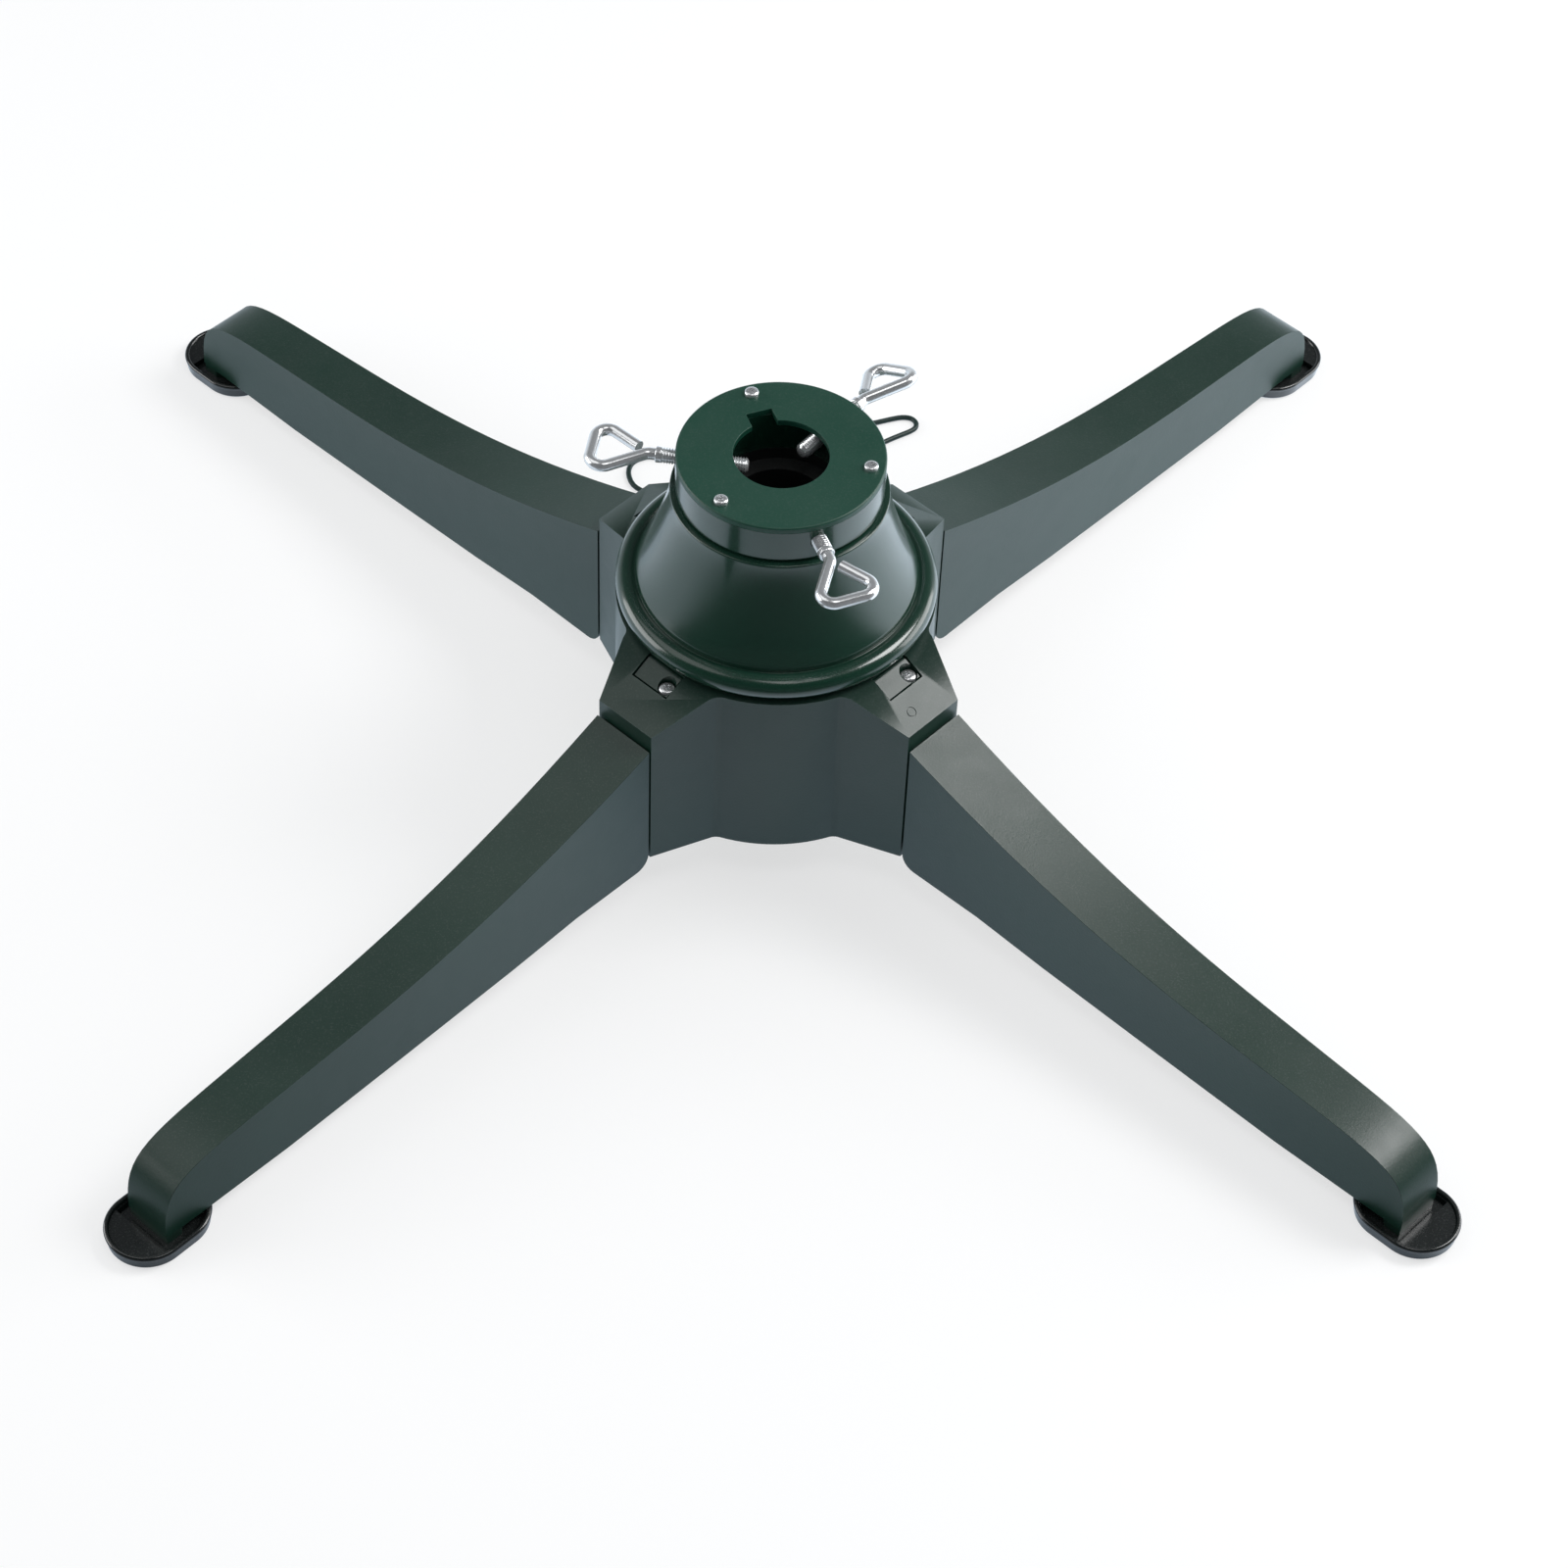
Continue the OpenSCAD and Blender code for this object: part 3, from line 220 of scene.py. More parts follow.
def group_sockets(group, inputs, outputs):
    for name, kind, default in inputs:
        socket = group.interface.new_socket(name=name, in_out="INPUT", socket_type=kind)
        if default is not None:
            socket.default_value = default
    for name, kind in outputs:
        group.interface.new_socket(name=name, in_out="OUTPUT", socket_type=kind)
    return add(group, "NodeGroupInput"), add(group, "NodeGroupOutput")


# ---------- shared shader groups ----------

def moulded_grain_group():
    """Fine spark-eroded grain with slow drifts of shade, for moulded plastic."""
    if "moulded_grain" in bpy.data.node_groups:
        return bpy.data.node_groups["moulded_grain"]
    g = bpy.data.node_groups.new("moulded_grain", "ShaderNodeTree")
    inp, out = group_sockets(
        g,
        [("Grain Size", "NodeSocketFloat", 0.0006), ("Grain Strength", "NodeSocketFloat", 1.0)],
        [("Height", "NodeSocketFloat"), ("Drift", "NodeSocketFloat"), ("Flow", "NodeSocketFloat")],
    )
    place = own_place(g)
    scale = maths(g, "DIVIDE", 1.0, inp.outputs["Grain Size"])
    pits = add(g, "ShaderNodeTexVoronoi", {"Randomness": 1.0})
    join(g, (place, pits.inputs["Vector"]), (times(g, scale, 0.7), pits.inputs["Scale"]))
    mixed = plus(g, times(g, noise(g, place, scale, 2.0, 0.6), 0.6), times(g, pits.outputs["Distance"], 0.4))
    join(g, (times(g, mixed, inp.outputs["Grain Strength"]), out.inputs["Height"]),
         (noise(g, place, 14.0, 3.0, 0.55, 0.4), out.inputs["Drift"]),
         (noise(g, place, 55.0, 4.0, 0.65, 1.2), out.inputs["Flow"]))
    return g


def edge_highlight_and_polish_group():
    """Mask of rounded edges, broken up by noise: plastic is rubbed smoother there, and metal and plastic get
    a lighter colour there as a painted edge highlight.
    """
    if "edge_polish" in bpy.data.node_groups:
        return bpy.data.node_groups["edge_polish"]
    g = bpy.data.node_groups.new("edge_polish", "ShaderNodeTree")
    inp, out = group_sockets(
        g,
        [("Width", "NodeSocketFloat", 0.0012), ("Amount", "NodeSocketFloat", 1.0)],
        [("Mask", "NodeSocketFloat")],
    )
    bevel = add(g, "ShaderNodeBevel", samples=4)
    flat = add(g, "ShaderNodeNewGeometry").outputs["Normal"]
    dot = add(g, "ShaderNodeVectorMath", operation="DOT_PRODUCT")
    join(g, (inp.outputs["Width"], bevel.inputs["Radius"]), (bevel.outputs[0], dot.inputs[0]),
         (flat, dot.inputs[1]))
    rise = times(g, minus(g, 1.0, dot.outputs["Value"]), 7.0, clamp=True)
    broken = times(g, rise, times(g, noise(g, own_place(g), 220.0, 4.0, 0.7), 1.5), clamp=True)
    join(g, (times(g, broken, inp.outputs["Amount"]), out.inputs["Mask"]))
    return g


def dust_group():
    """Mask of the faint dust that settles on faces that look up."""
    if "settled_dust" in bpy.data.node_groups:
        return bpy.data.node_groups["settled_dust"]
    g = bpy.data.node_groups.new("settled_dust", "ShaderNodeTree")
    inp, out = group_sockets(g, [("Amount", "NodeSocketFloat", 0.1)], [("Mask", "NodeSocketFloat")])
    place = own_place(g)
    normal = add(g, "ShaderNodeNewGeometry").outputs["Normal"]
    up = times(g, minus(g, apart(g, normal)["Z"], 0.6), 2.5, clamp=True)
    specks = times(g, minus(g, noise(g, place, 1400.0, 1.0), 0.55), 6.0, clamp=True)
    cover = times(g, plus(g, noise(g, place, 30.0, 5.0, 0.6), specks), up)
    join(g, (times(g, cover, inp.outputs["Amount"], clamp=True), out.inputs["Mask"]))
    return g


def use_group(tree, group, **values):
    node = add(tree, "ShaderNodeGroup", node_tree=group)
    for key, value in values.items():
        node.inputs[key.replace("_", " ")].default_value = value
    return node


def bare_material(name):
    material = bpy.data.materials.new(name)
    tree = cleared_tree(material)
    shader = add(tree, "ShaderNodeBsdfPrincipled")
    output = add(tree, "ShaderNodeOutputMaterial")
    join(tree, (shader.outputs[0], output.inputs["Surface"]))
    return material, tree, shader


def plastic(name, base, rough, grain, grain_depth, polish_and_edge_highlight=0.5, dust=0.05, ior=1.5, coat=0.0, drift=0.25):
    """Moulded or lacquered plastic: grain, slow drift of shade, edges rubbed smoother and lightened as a
    painted highlight, painted highlight and painted shade on the rounded strips that the piece marks, and a
    trace of dust.
    """
    material, tree, shader = bare_material(name)
    texture = use_group(tree, moulded_grain_group(), Grain_Size=grain)
    edges = use_group(tree, edge_highlight_and_polish_group(), Amount=polish_and_edge_highlight)
    dusty = use_group(tree, dust_group(), Amount=dust)
    base = tuple(base)
    dark = tuple(c * (1 - drift) for c in base)
    light = tuple(min(1.0, c * (1 + drift)) for c in base)
    body = blend_colour(tree, texture.outputs["Drift"], dark, light)
    # Painted edge highlight: rounded edges get a lighter colour; the same mask also lowers the roughness
    # there, as rubbed wear.
    painted_edge_highlight = tuple(min(1.0, c * 1.5 + 0.008) for c in base)
    body_with_painted_edges = blend_colour(tree, edges.outputs["Mask"], body, painted_edge_highlight)
    # Painted highlight and painted shade on the rounded strips: lighter where the piece's attribute is above
    # zero, near black and matte where it is below.
    tone = add(tree, "ShaderNodeAttribute", attribute_name="edge_tone").outputs["Fac"]
    painted_edge_shade = times(tree, tone, -1.0, clamp=True)
    body_with_painted_edges = blend_colour(tree, times(tree, tone, 0.5, clamp=True), body_with_painted_edges, (0.20, 0.25, 0.23))
    body_with_painted_edges = blend_colour(tree, painted_edge_shade, body_with_painted_edges, (0.001, 0.0015, 0.0015))
    dusted = blend_colour(tree, dusty.outputs["Mask"], body_with_painted_edges, (0.32, 0.33, 0.32))
    roughness = plus(tree, times(tree, texture.outputs["Flow"], 0.12), rough - 0.06)
    roughness = minus(tree, roughness, times(tree, edges.outputs["Mask"], rough * 0.35))
    roughness = plus(tree, roughness, times(tree, dusty.outputs["Mask"], 0.5), clamp=True)
    roughness = plus(tree, roughness, times(tree, painted_edge_shade, 0.4), clamp=True)
    bump = add(tree, "ShaderNodeBump", {"Strength": 0.6, "Distance": grain_depth})
    join(tree, (dusted, shader.inputs["Base Color"]), (roughness, shader.inputs["Roughness"]),
         (texture.outputs["Height"], bump.inputs["Height"]), (bump.outputs[0], shader.inputs["Normal"]))
    shader.inputs["IOR"].default_value = ior
    shader.inputs["Coat Weight"].default_value = coat
    shader.inputs["Coat Roughness"].default_value = 0.12
    return material


def plated(name, base, rough, streak=0.5, brushed=False, metal=1.0):
    """Plated or ground metal with cloudy variation and fine marks; metal below 1 gives a whitish bloom."""
    material, tree, shader = bare_material(name)
    edges = use_group(tree, edge_highlight_and_polish_group(), Width=0.0006, Amount=0.6)
    place = own_place(tree)
    cloud = noise(tree, place, 160.0, 4.0, 0.6)
    stretch = add(tree, "ShaderNodeMapping", {"Scale": (1.0, 1.0, 12.0 if brushed else 1.0)})
    join(tree, (place, stretch.inputs["Vector"]))
    marks = noise(tree, stretch.outputs[0], 1800.0, 3.0, 0.7)
    base = tuple(base)
    dull = tuple(c * (1 - 0.22 * streak) for c in base)
    tone = blend_colour(tree, cloud, dull, base)
    # Painted edge highlight: the colour is a little lighter on rounded edges.
    bright = blend_colour(tree, edges.outputs["Mask"], tone, tuple(min(1.0, c * 1.08) for c in base))
    roughness = plus(tree, rough - 0.05, times(tree, marks, 0.10))
    roughness = plus(tree, roughness, times(tree, cloud, 0.05), clamp=True)
    bump = add(tree, "ShaderNodeBump", {"Strength": 0.25, "Distance": 0.00003})
    join(tree, (bright, shader.inputs["Base Color"]), (roughness, shader.inputs["Roughness"]),
         (marks, bump.inputs["Height"]), (bump.outputs[0], shader.inputs["Normal"]))
    shader.inputs["Metallic"].default_value = metal
    return material


def make_materials():
    """The finish of each of the record's material slots."""
    f = finish()
    return {
        "moulded_green": plastic("moulded_green", f.moulded_green, 0.34, 0.0007, 0.00006),
        "glossy_green": plastic("glossy_green", f.glossy_green, 0.22, 0.004, 0.00002, polish_and_edge_highlight=0.25, dust=0.02,
                                coat=0.6, drift=0.12),
        "plate_green": plastic("plate_green", f.plate_green, 0.42, 0.0011, 0.00004, polish_and_edge_highlight=0.4, dust=0.04,
                               drift=0.2),
        "foot_black": plastic("foot_black", f.foot_black, 0.16, 0.003, 0.00002, polish_and_edge_highlight=0.3, coat=0.4),
        "black_plastic": plastic("black_plastic", f.black_plastic, 0.45, 0.0008, 0.00005),
        "lead_green": plastic("lead_green", f.lead_green, 0.34, 0.0012, 0.00003, polish_and_edge_highlight=0.0, ior=1.46),
        "nylon": plastic("nylon", f.nylon, 0.42, 0.0009, 0.00003, polish_and_edge_highlight=0.1, drift=0.06),
        "bright_zinc": plated("bright_zinc", f.zinc, 0.15, metal=0.76),
        "screw_zinc": plated("screw_zinc", f.zinc, 0.24, 0.8, metal=0.85),
        "bearing_steel": plated("bearing_steel", f.steel, 0.20, 0.6),
        "motor_steel": plated("motor_steel", f.steel, 0.34, 0.9, brushed=True),
    }


MATERIALS = {}


def material_of(slot):
    if not MATERIALS:
        MATERIALS.update(make_materials())
    return MATERIALS[slot]


def slot_of(node):
    for part in frame["record"]["subparts"]:
        if part["node"] == node:
            return part["material_slot"]
    raise RuntimeError("no material slot for " + node)


def body_of(node):
    for body, members in frame["record"]["behaviour"]["bodies"].items():
        if node in members:
            return body
    raise RuntimeError("no body for " + node)


# ---------- mesh helpers ----------

SHARP_FROM = 28     # degrees between two faces from which their edge is rounded


def link(name, data):
    thing = bpy.data.objects.new(name, data)
    bpy.context.scene.collection.objects.link(thing)
    return thing


@contextmanager
def edited(mesh):
    """Opens a mesh for editing and writes it back."""
    bm = bmesh.new()
    bm.from_mesh(mesh)
    yield bm
    bm.to_mesh(mesh)
    bm.free()


def bake(thing):
    """Turns an object's evaluated shape into its plain mesh and takes its modifiers off."""
    graph = bpy.context.evaluated_depsgraph_get()
    graph.update()
    mesh = bpy.data.meshes.new_from_object(thing.evaluated_get(graph), preserve_all_data_layers=True,
                                           depsgraph=graph)
    if thing.type == "MESH":
        thing.modifiers.clear()
        thing.data = mesh
        return thing
    name = thing.name
    bpy.data.objects.remove(thing)
    return link(name, mesh)


def place_piece(thing, nodes, slot=None, smooth=35.0):
    """Gives a finished piece its finish and body, and hides the model's nodes that it stands for."""
    slot = slot or slot_of(nodes[0])
    mesh = thing.data
    if smooth:
        mesh.shade_smooth()
        mesh.set_sharp_from_angle(angle=math.radians(smooth))
    mesh.materials.clear()
    mesh.materials.append(material_of(slot))
    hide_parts(*nodes)
    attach(thing, body_of(nodes[0]))
    return thing


def copy_of(node, name):
    """A merged copy of a node's mesh, with its flat faces whole again."""
    mesh = bpy.data.meshes.new(name)
    with edited(mesh) as bm:
        bm.from_mesh(frame["nodes"][node].data)
        bmesh.ops.remove_doubles(bm, verts=bm.verts, dist=0.002 * MM)
        bmesh.ops.dissolve_limit(bm, angle_limit=math.radians(0.6), verts=bm.verts, edges=bm.edges)
    return link(name, mesh)


def softened(node, name, width, small=0.0, is_outer=None, segments=2, tone=None):
    """Puts a copy with rounded edges in a node's place: widely where is_outer says so, or else with small.

    The overlap clamp holds the rounding of a whole piece to what its shortest edges allow. It comes out at
    about 0.2 mm on the plate, 0.15 on the legs, 0.14 on the bottom cover, 0.07 on the hub and under 0.02 on
    the collar and the cups, and a wider one that is asked changes nothing.
    The rounded strips keep, in a face attribute, how much painted highlight or painted shade tone gives them.
    """
    thing = copy_of(node, name)
    with edited(thing.data) as bm:
        layer = bm.edges.layers.float.new("bevel_weight_edge")
        for edge in bm.edges:
            if len(edge.link_faces) != 2 or edge.calc_face_angle(0.0) < math.radians(SHARP_FROM):
                continue
            middle = (edge.verts[0].co + edge.verts[1].co) / 2
            edge[layer] = 1.0 if is_outer is None or is_outer(middle) else small / width
    thing.data.shade_smooth()
    for empty in range(2):
        thing.data.materials.append(None)
    bevel = thing.modifiers.new("edges", "BEVEL")
    bevel.material = 1
    bevel.width = width
    bevel.segments = segments
    bevel.limit_method = "WEIGHT"
    bevel.use_clamp_overlap = True
    bevel.miter_outer = "MITER_ARC"
    even = thing.modifiers.new("flat faces stay flat", "WEIGHTED_NORMAL")
    even.mode = "FACE_AREA_WITH_ANGLE"
    even.weight = 70
    bake(thing)
    faces = thing.data.polygons
    layer = thing.data.attributes.new("edge_tone", "FLOAT", "FACE")
    layer.data.foreach_set("value", [tone(f) if tone and f.material_index == 1 else 0.0 for f in faces])
    faces.foreach_set("material_index", [0] * len(faces))
    return place_piece(thing, [node], smooth=None)


# ---------- geometry node trees ----------

def tree_of(name, inputs):
    """An empty geometry tree with a geometry input, the named inputs and a geometry output."""
    group = bpy.data.node_groups.new(name, "GeometryNodeTree")
    inp, out = group_sockets(group, [("Geometry", "NodeSocketGeometry", None), *inputs],
                             [("Geometry", "NodeSocketGeometry")])
    return group, inp, out


def finish_tree(group, geometry, inp, out):
    """Realize Instances and Set Material end every tree."""
    real = add(group, "GeometryNodeRealizeInstances")
    paint = add(group, "GeometryNodeSetMaterial")
    join(group, (geometry, real.inputs[0]), (real.outputs[0], paint.inputs["Geometry"]),
         (inp.outputs["Material"], paint.inputs["Material"]), (paint.outputs[0], out.inputs[0]))
    return group


def run_tree(thing, group, **values):
    """Runs a tree on an object, with its named inputs, and keeps the plain mesh."""
    modifier = thing.modifiers.new(group.name, "NODES")
    modifier.node_group = group
    for item in group.interface.items_tree:
        key = item.name.replace(" ", "_")
        if item.item_type == "SOCKET" and item.in_out == "INPUT" and key in values:
            modifier[item.identifier] = values[key]
    return bake(thing)


def turned_tree():
    """Turns a profile, drawn in X and Z, once round the Z axis."""
    if "turned_piece" in bpy.data.node_groups:
        return bpy.data.node_groups["turned_piece"]
    g, inp, out = tree_of("turned_piece", [
        ("Steps", "NodeSocketInt", 128), ("Material", "NodeSocketMaterial", None)])
    drawn = apart(g, add(g, "GeometryNodeInputPosition").outputs[0])
    keep_radius, keep_height = (
        add(g, "GeometryNodeStoreNamedAttribute", {"Name": name}, data_type="FLOAT", domain="POINT")
        for name in ("turn_radius", "turn_height"))
    line = add(g, "GeometryNodeMeshToCurve")
    gather = add(g, "GeometryNodeSetPosition", {"Position": (0.0, 0.0, 0.0)})
    path = add(g, "GeometryNodeCurvePrimitiveCircle", {"Radius": 1.0}, mode="RADIUS")
    sweep = add(g, "GeometryNodeCurveToMesh")
    join(g, (inp.outputs["Geometry"], keep_radius.inputs["Geometry"]),
         (drawn["X"], keep_radius.inputs["Value"]),
         (keep_radius.outputs[0], keep_height.inputs["Geometry"]), (drawn["Z"], keep_height.inputs["Value"]),
         (keep_height.outputs[0], line.inputs["Mesh"]), (line.outputs[0], gather.inputs["Geometry"]),
         (inp.outputs["Steps"], path.inputs["Resolution"]), (path.outputs[0], sweep.inputs["Curve"]),
         (gather.outputs[0], sweep.inputs["Profile Curve"]))
    radius, height = (add(g, "GeometryNodeInputNamedAttribute", {"Name": name}, data_type="FLOAT").outputs[0]
                      for name in ("turn_radius", "turn_height"))
    there = apart(g, add(g, "GeometryNodeInputPosition").outputs[0])
    angle = maths(g, "ARCTAN2", there["Y"], there["X"])
    spot = together(g, times(g, radius, maths(g, "COSINE", angle)), times(g, radius, maths(g, "SINE", angle)),
                    height)
    move = add(g, "GeometryNodeSetPosition")
    close = add(g, "GeometryNodeMergeByDistance", {"Distance": 0.004 * MM})
    join(g, (sweep.outputs[0], move.inputs["Geometry"]), (spot, move.inputs["Position"]),
         (move.outputs[0], close.inputs["Geometry"]))
    return finish_tree(g, close.outputs[0], inp, out)


def ring_tree():
    """Copies a piece round the Z axis."""
    if "ring_of_pieces" in bpy.data.node_groups:
        return bpy.data.node_groups["ring_of_pieces"]
    g, inp, out = tree_of("ring_of_pieces", [
        ("Count", "NodeSocketInt", 4), ("First", "NodeSocketFloat", 0.0),
        ("Step", "NodeSocketFloat", math.pi / 2), ("Material", "NodeSocketMaterial", None)])
    line = add(g, "GeometryNodeMeshLine", {"Offset": (0.0, 0.0, 0.0)})
    number = add(g, "GeometryNodeInputIndex").outputs[0]
    copies = add(g, "GeometryNodeInstanceOnPoints")
    angle = plus(g, times(g, number, inp.outputs["Step"]), inp.outputs["First"])
    join(g, (inp.outputs["Count"], line.inputs["Count"]), (line.outputs[0], copies.inputs["Points"]),
         (inp.outputs["Geometry"], copies.inputs["Instance"]),
         (together(g, 0.0, 0.0, angle), copies.inputs["Rotation"]))
    return finish_tree(g, copies.outputs[0], inp, out)


def thread_tree():
    """Cuts a screw thread into the wall of a rod that lies along X, from the grid of its wall."""
    if "screw_thread" in bpy.data.node_groups:
        return bpy.data.node_groups["screw_thread"]
    g, inp, out = tree_of("screw_thread", [
        ("Radius", "NodeSocketFloat", 3 * MM), ("Pitch", "NodeSocketFloat", 1 * MM),
        ("Depth", "NodeSocketFloat", 0.55 * MM), ("Start", "NodeSocketFloat", 0.0),
        ("End", "NodeSocketFloat", 0.04), ("Material", "NodeSocketMaterial", None)])
    here = apart(g, add(g, "GeometryNodeInputPosition").outputs[0])
    angle = maths(g, "ARCTAN2", here["Z"], here["Y"])
    turns = minus(g, maths(g, "DIVIDE", here["X"], inp.outputs["Pitch"]),
                  maths(g, "DIVIDE", angle, 2 * math.pi))
    saw = maths(g, "ABSOLUTE", minus(g, times(g, maths(g, "FRACT", turns), 2.0), 1.0))
    groove = times(g, minus(g, times(g, saw, 1.25), 0.1, clamp=True), inp.outputs["Depth"])
    near_start, near_end = (
        maths(g, "DIVIDE", minus(g, *ends), inp.outputs["Pitch"], clamp=True)
        for ends in ((here["X"], inp.outputs["Start"]), (inp.outputs["End"], here["X"])))
    across = maths(g, "SQRT", plus(g, maths(g, "POWER", here["Y"], 2.0), maths(g, "POWER", here["Z"], 2.0)))
    wall = maths(g, "GREATER_THAN", across, times(g, inp.outputs["Radius"], 0.999))
    cut = times(g, times(g, groove, times(g, near_start, near_end)), wall)
    radius = minus(g, across, cut)
    spot = together(g, here["X"], times(g, radius, maths(g, "COSINE", angle)),
                    times(g, radius, maths(g, "SINE", angle)))
    move = add(g, "GeometryNodeSetPosition")
    join(g, (inp.outputs["Geometry"], move.inputs["Geometry"]), (spot, move.inputs["Position"]))
    return finish_tree(g, move.outputs[0], inp, out)


def profile_object(name, points, closed=True):
    """The outline of a turned piece: points of radius and height, in millimetres."""
    mesh = bpy.data.meshes.new(name)
    edges = [(i, i + 1) for i in range(len(points) - 1)]
    if closed:
        edges.append((len(points) - 1, 0))
    mesh.from_pydata([(r * MM, 0.0, z * MM) for r, z in points], edges, [])
    return link(name, mesh)


def turned(name, points, slot, steps=None, closed=True):
    thing = run_tree(profile_object(name, points, closed), turned_tree(),
                     Steps=steps or sizes().turned_steps, Material=material_of(slot))
    face_out(thing.data)
    return thing


def face_out(mesh):
    """Merges a mesh's doubles and turns its faces outwards."""
    with edited(mesh) as bm:
        bmesh.ops.remove_doubles(bm, verts=bm.verts, dist=0.003 * MM)
        bmesh.ops.recalc_face_normals(bm, faces=bm.faces)


# ---------- plane curves, in millimetres ----------

def cubic(c, t):
    return tuple(c[0][k] * (1 - t) ** 3 + 3 * c[1][k] * t * (1 - t) ** 2 + 3 * c[2][k] * t * t * (1 - t)
                 + c[3][k] * t ** 3 for k in (0, 1))


def cubic_slope(c, t):
    d = [3 * (c[1][k] - c[0][k]) * (1 - t) ** 2 + 6 * (c[2][k] - c[1][k]) * t * (1 - t)
         + 3 * (c[3][k] - c[2][k]) * t * t for k in (0, 1)]
    size = math.hypot(*d)
    return d[0] / size, d[1] / size


def arc(cx, cy, r, first, last, steps):
    """Points of an arc, from one angle to another in degrees."""
    angles = [math.radians(first + (last - first) * i / steps) for i in range(steps + 1)]
    return [(cx + r * math.cos(a), cy + r * math.sin(a)) for a in angles]


# ---------- power lead ----------

ROUTE = [
    (0, 80, 26), (0, 85, 26), (0, 90, 24.8), (-0.5, 98, 20), (-1.5, 106, 13), (-3, 114, 6),
    (-6, 121, 2.2), (-11, 128, 1.1), (-18, 134, 1.1), (-28, 138, 1.1), (-38, 142, 1.1), (-46.5, 145.5, 1.1),
    (-52, 150, 1.1), (-54, 157, 1.1), (-52.5, 162.7, 1.1), (-48, 166, 1.1), (-42.8, 166.7, 1.1),
    (-35.5, 165.6, 1.1), (-24, 164, 1.1), (-10, 165, 1.1), (6, 170, 1.1), (22, 177, 1.1), (36, 183, 1.1),
    (50.7, 187.6, 1.1), (56, 189.3, 1.1), (60.4, 190.3, 1.1), (64, 189.7, 1.1), (66, 187.3, 1.1),
    (65.8, 184.4, 1.1), (63.6, 182.1, 1.1), (58.5, 179.2, 1.1), (53.4, 176.2, 1.1), (44, 170, 1.1),
    (34, 162, 1.1), (22, 155, 1.1), (12, 149, 1.1), (6, 141, 1.2), (3.3, 132, 1.6), (3, 126, 1.8),
    (3, 120.2, 1.9),
]
COIL_AT = (20.0, 118.0)
COIL_OUTER = 17.0
COIL_LAYERS = 4
COIL_SPIRAL = 3.5
COIL_CLIMB = 0.5
COIL_PITCH = 2.95
COIL_LOW = 1.9
COIL_RINGS = 24
TAIL = [
    (37, 120.2, 10.75), (37, 121.6, 10.75), (37.3, 124.6, 9.7), (37.9, 127.4, 8.3), (39.5, 129.7, 7.1),
    (42.5, 130.8, 6.1), (45.5, 129.6, 5.3), (47.4, 126.6, 4.9), (48, 123, 4.75), (48, 119, 4.75),
]


def coil_point(t):
    """A point of the stored turns, t in turns: layers that wind in and out, with a climb between them."""
    layer = min(COIL_LAYERS - 1, math.floor(t / (COIL_SPIRAL + COIL_CLIMB)))
    u = t - layer * (COIL_SPIRAL + COIL_CLIMB)
    wound = min(u, COIL_SPIRAL) * COIL_PITCH
    climbed = max(0.0, u - COIL_SPIRAL) / COIL_CLIMB
    r = COIL_OUTER - wound if layer % 2 == 0 else COIL_OUTER - COIL_SPIRAL * COIL_PITCH + wound
    a = math.radians(180 + 360 * t)
    x, y = COIL_AT[0] + r * math.cos(a), COIL_AT[1] + r * math.sin(a)
    return x, y, COIL_LOW + COIL_PITCH * (layer + climbed)


def on_floor(point):
    """The point itself, or the one above it where the lead lies on the floor."""
    return Vector((point.x, point.y, max(point.z, sizes().lead_diameter / 2)))


def lead_points():
    turns = COIL_LAYERS * COIL_SPIRAL + (COIL_LAYERS - 1) * COIL_CLIMB
    wound = [coil_point(i / COIL_RINGS) for i in range(int(turns * COIL_RINGS) + 1)]
    return [Vector(p) * MM for p in ROUTE + wound + TAIL]


class STAND_OT_lead(bpy.types.Operator):
    """Make the low-voltage lead with its stored coil, as one curve"""
    bl_idname = "stand.lead"
    bl_label = "Power lead"

    def execute(self, context):
        points = lead_points()
        curve = bpy.data.curves.new("power_lead", "CURVE")
        curve.dimensions = "3D"
        curve.resolution_u = 3
        curve.bevel_depth = sizes().lead_diameter / 2
        curve.bevel_resolution = 3
        curve.use_fill_caps = True
        spline = curve.splines.new("BEZIER")
        spline.bezier_points.add(len(points) - 1)
        last = len(points) - 1
        for i, knot in enumerate(spline.bezier_points):
            before, after = points[max(i - 1, 0)], points[min(i + 1, last)]
            reach = (after - before) / 6
            knot.handle_left_type = knot.handle_right_type = "FREE"
            knot.co = points[i]
            knot.handle_left = on_floor(points[i] - reach)
            knot.handle_right = on_floor(points[i] + reach)
        lead = link("power_lead", curve)
        curve.materials.append(material_of("lead_green"))
        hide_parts("power_cord", "cord_coil", "cord_tail")
        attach(lead, "stand")
        return {"FINISHED"}


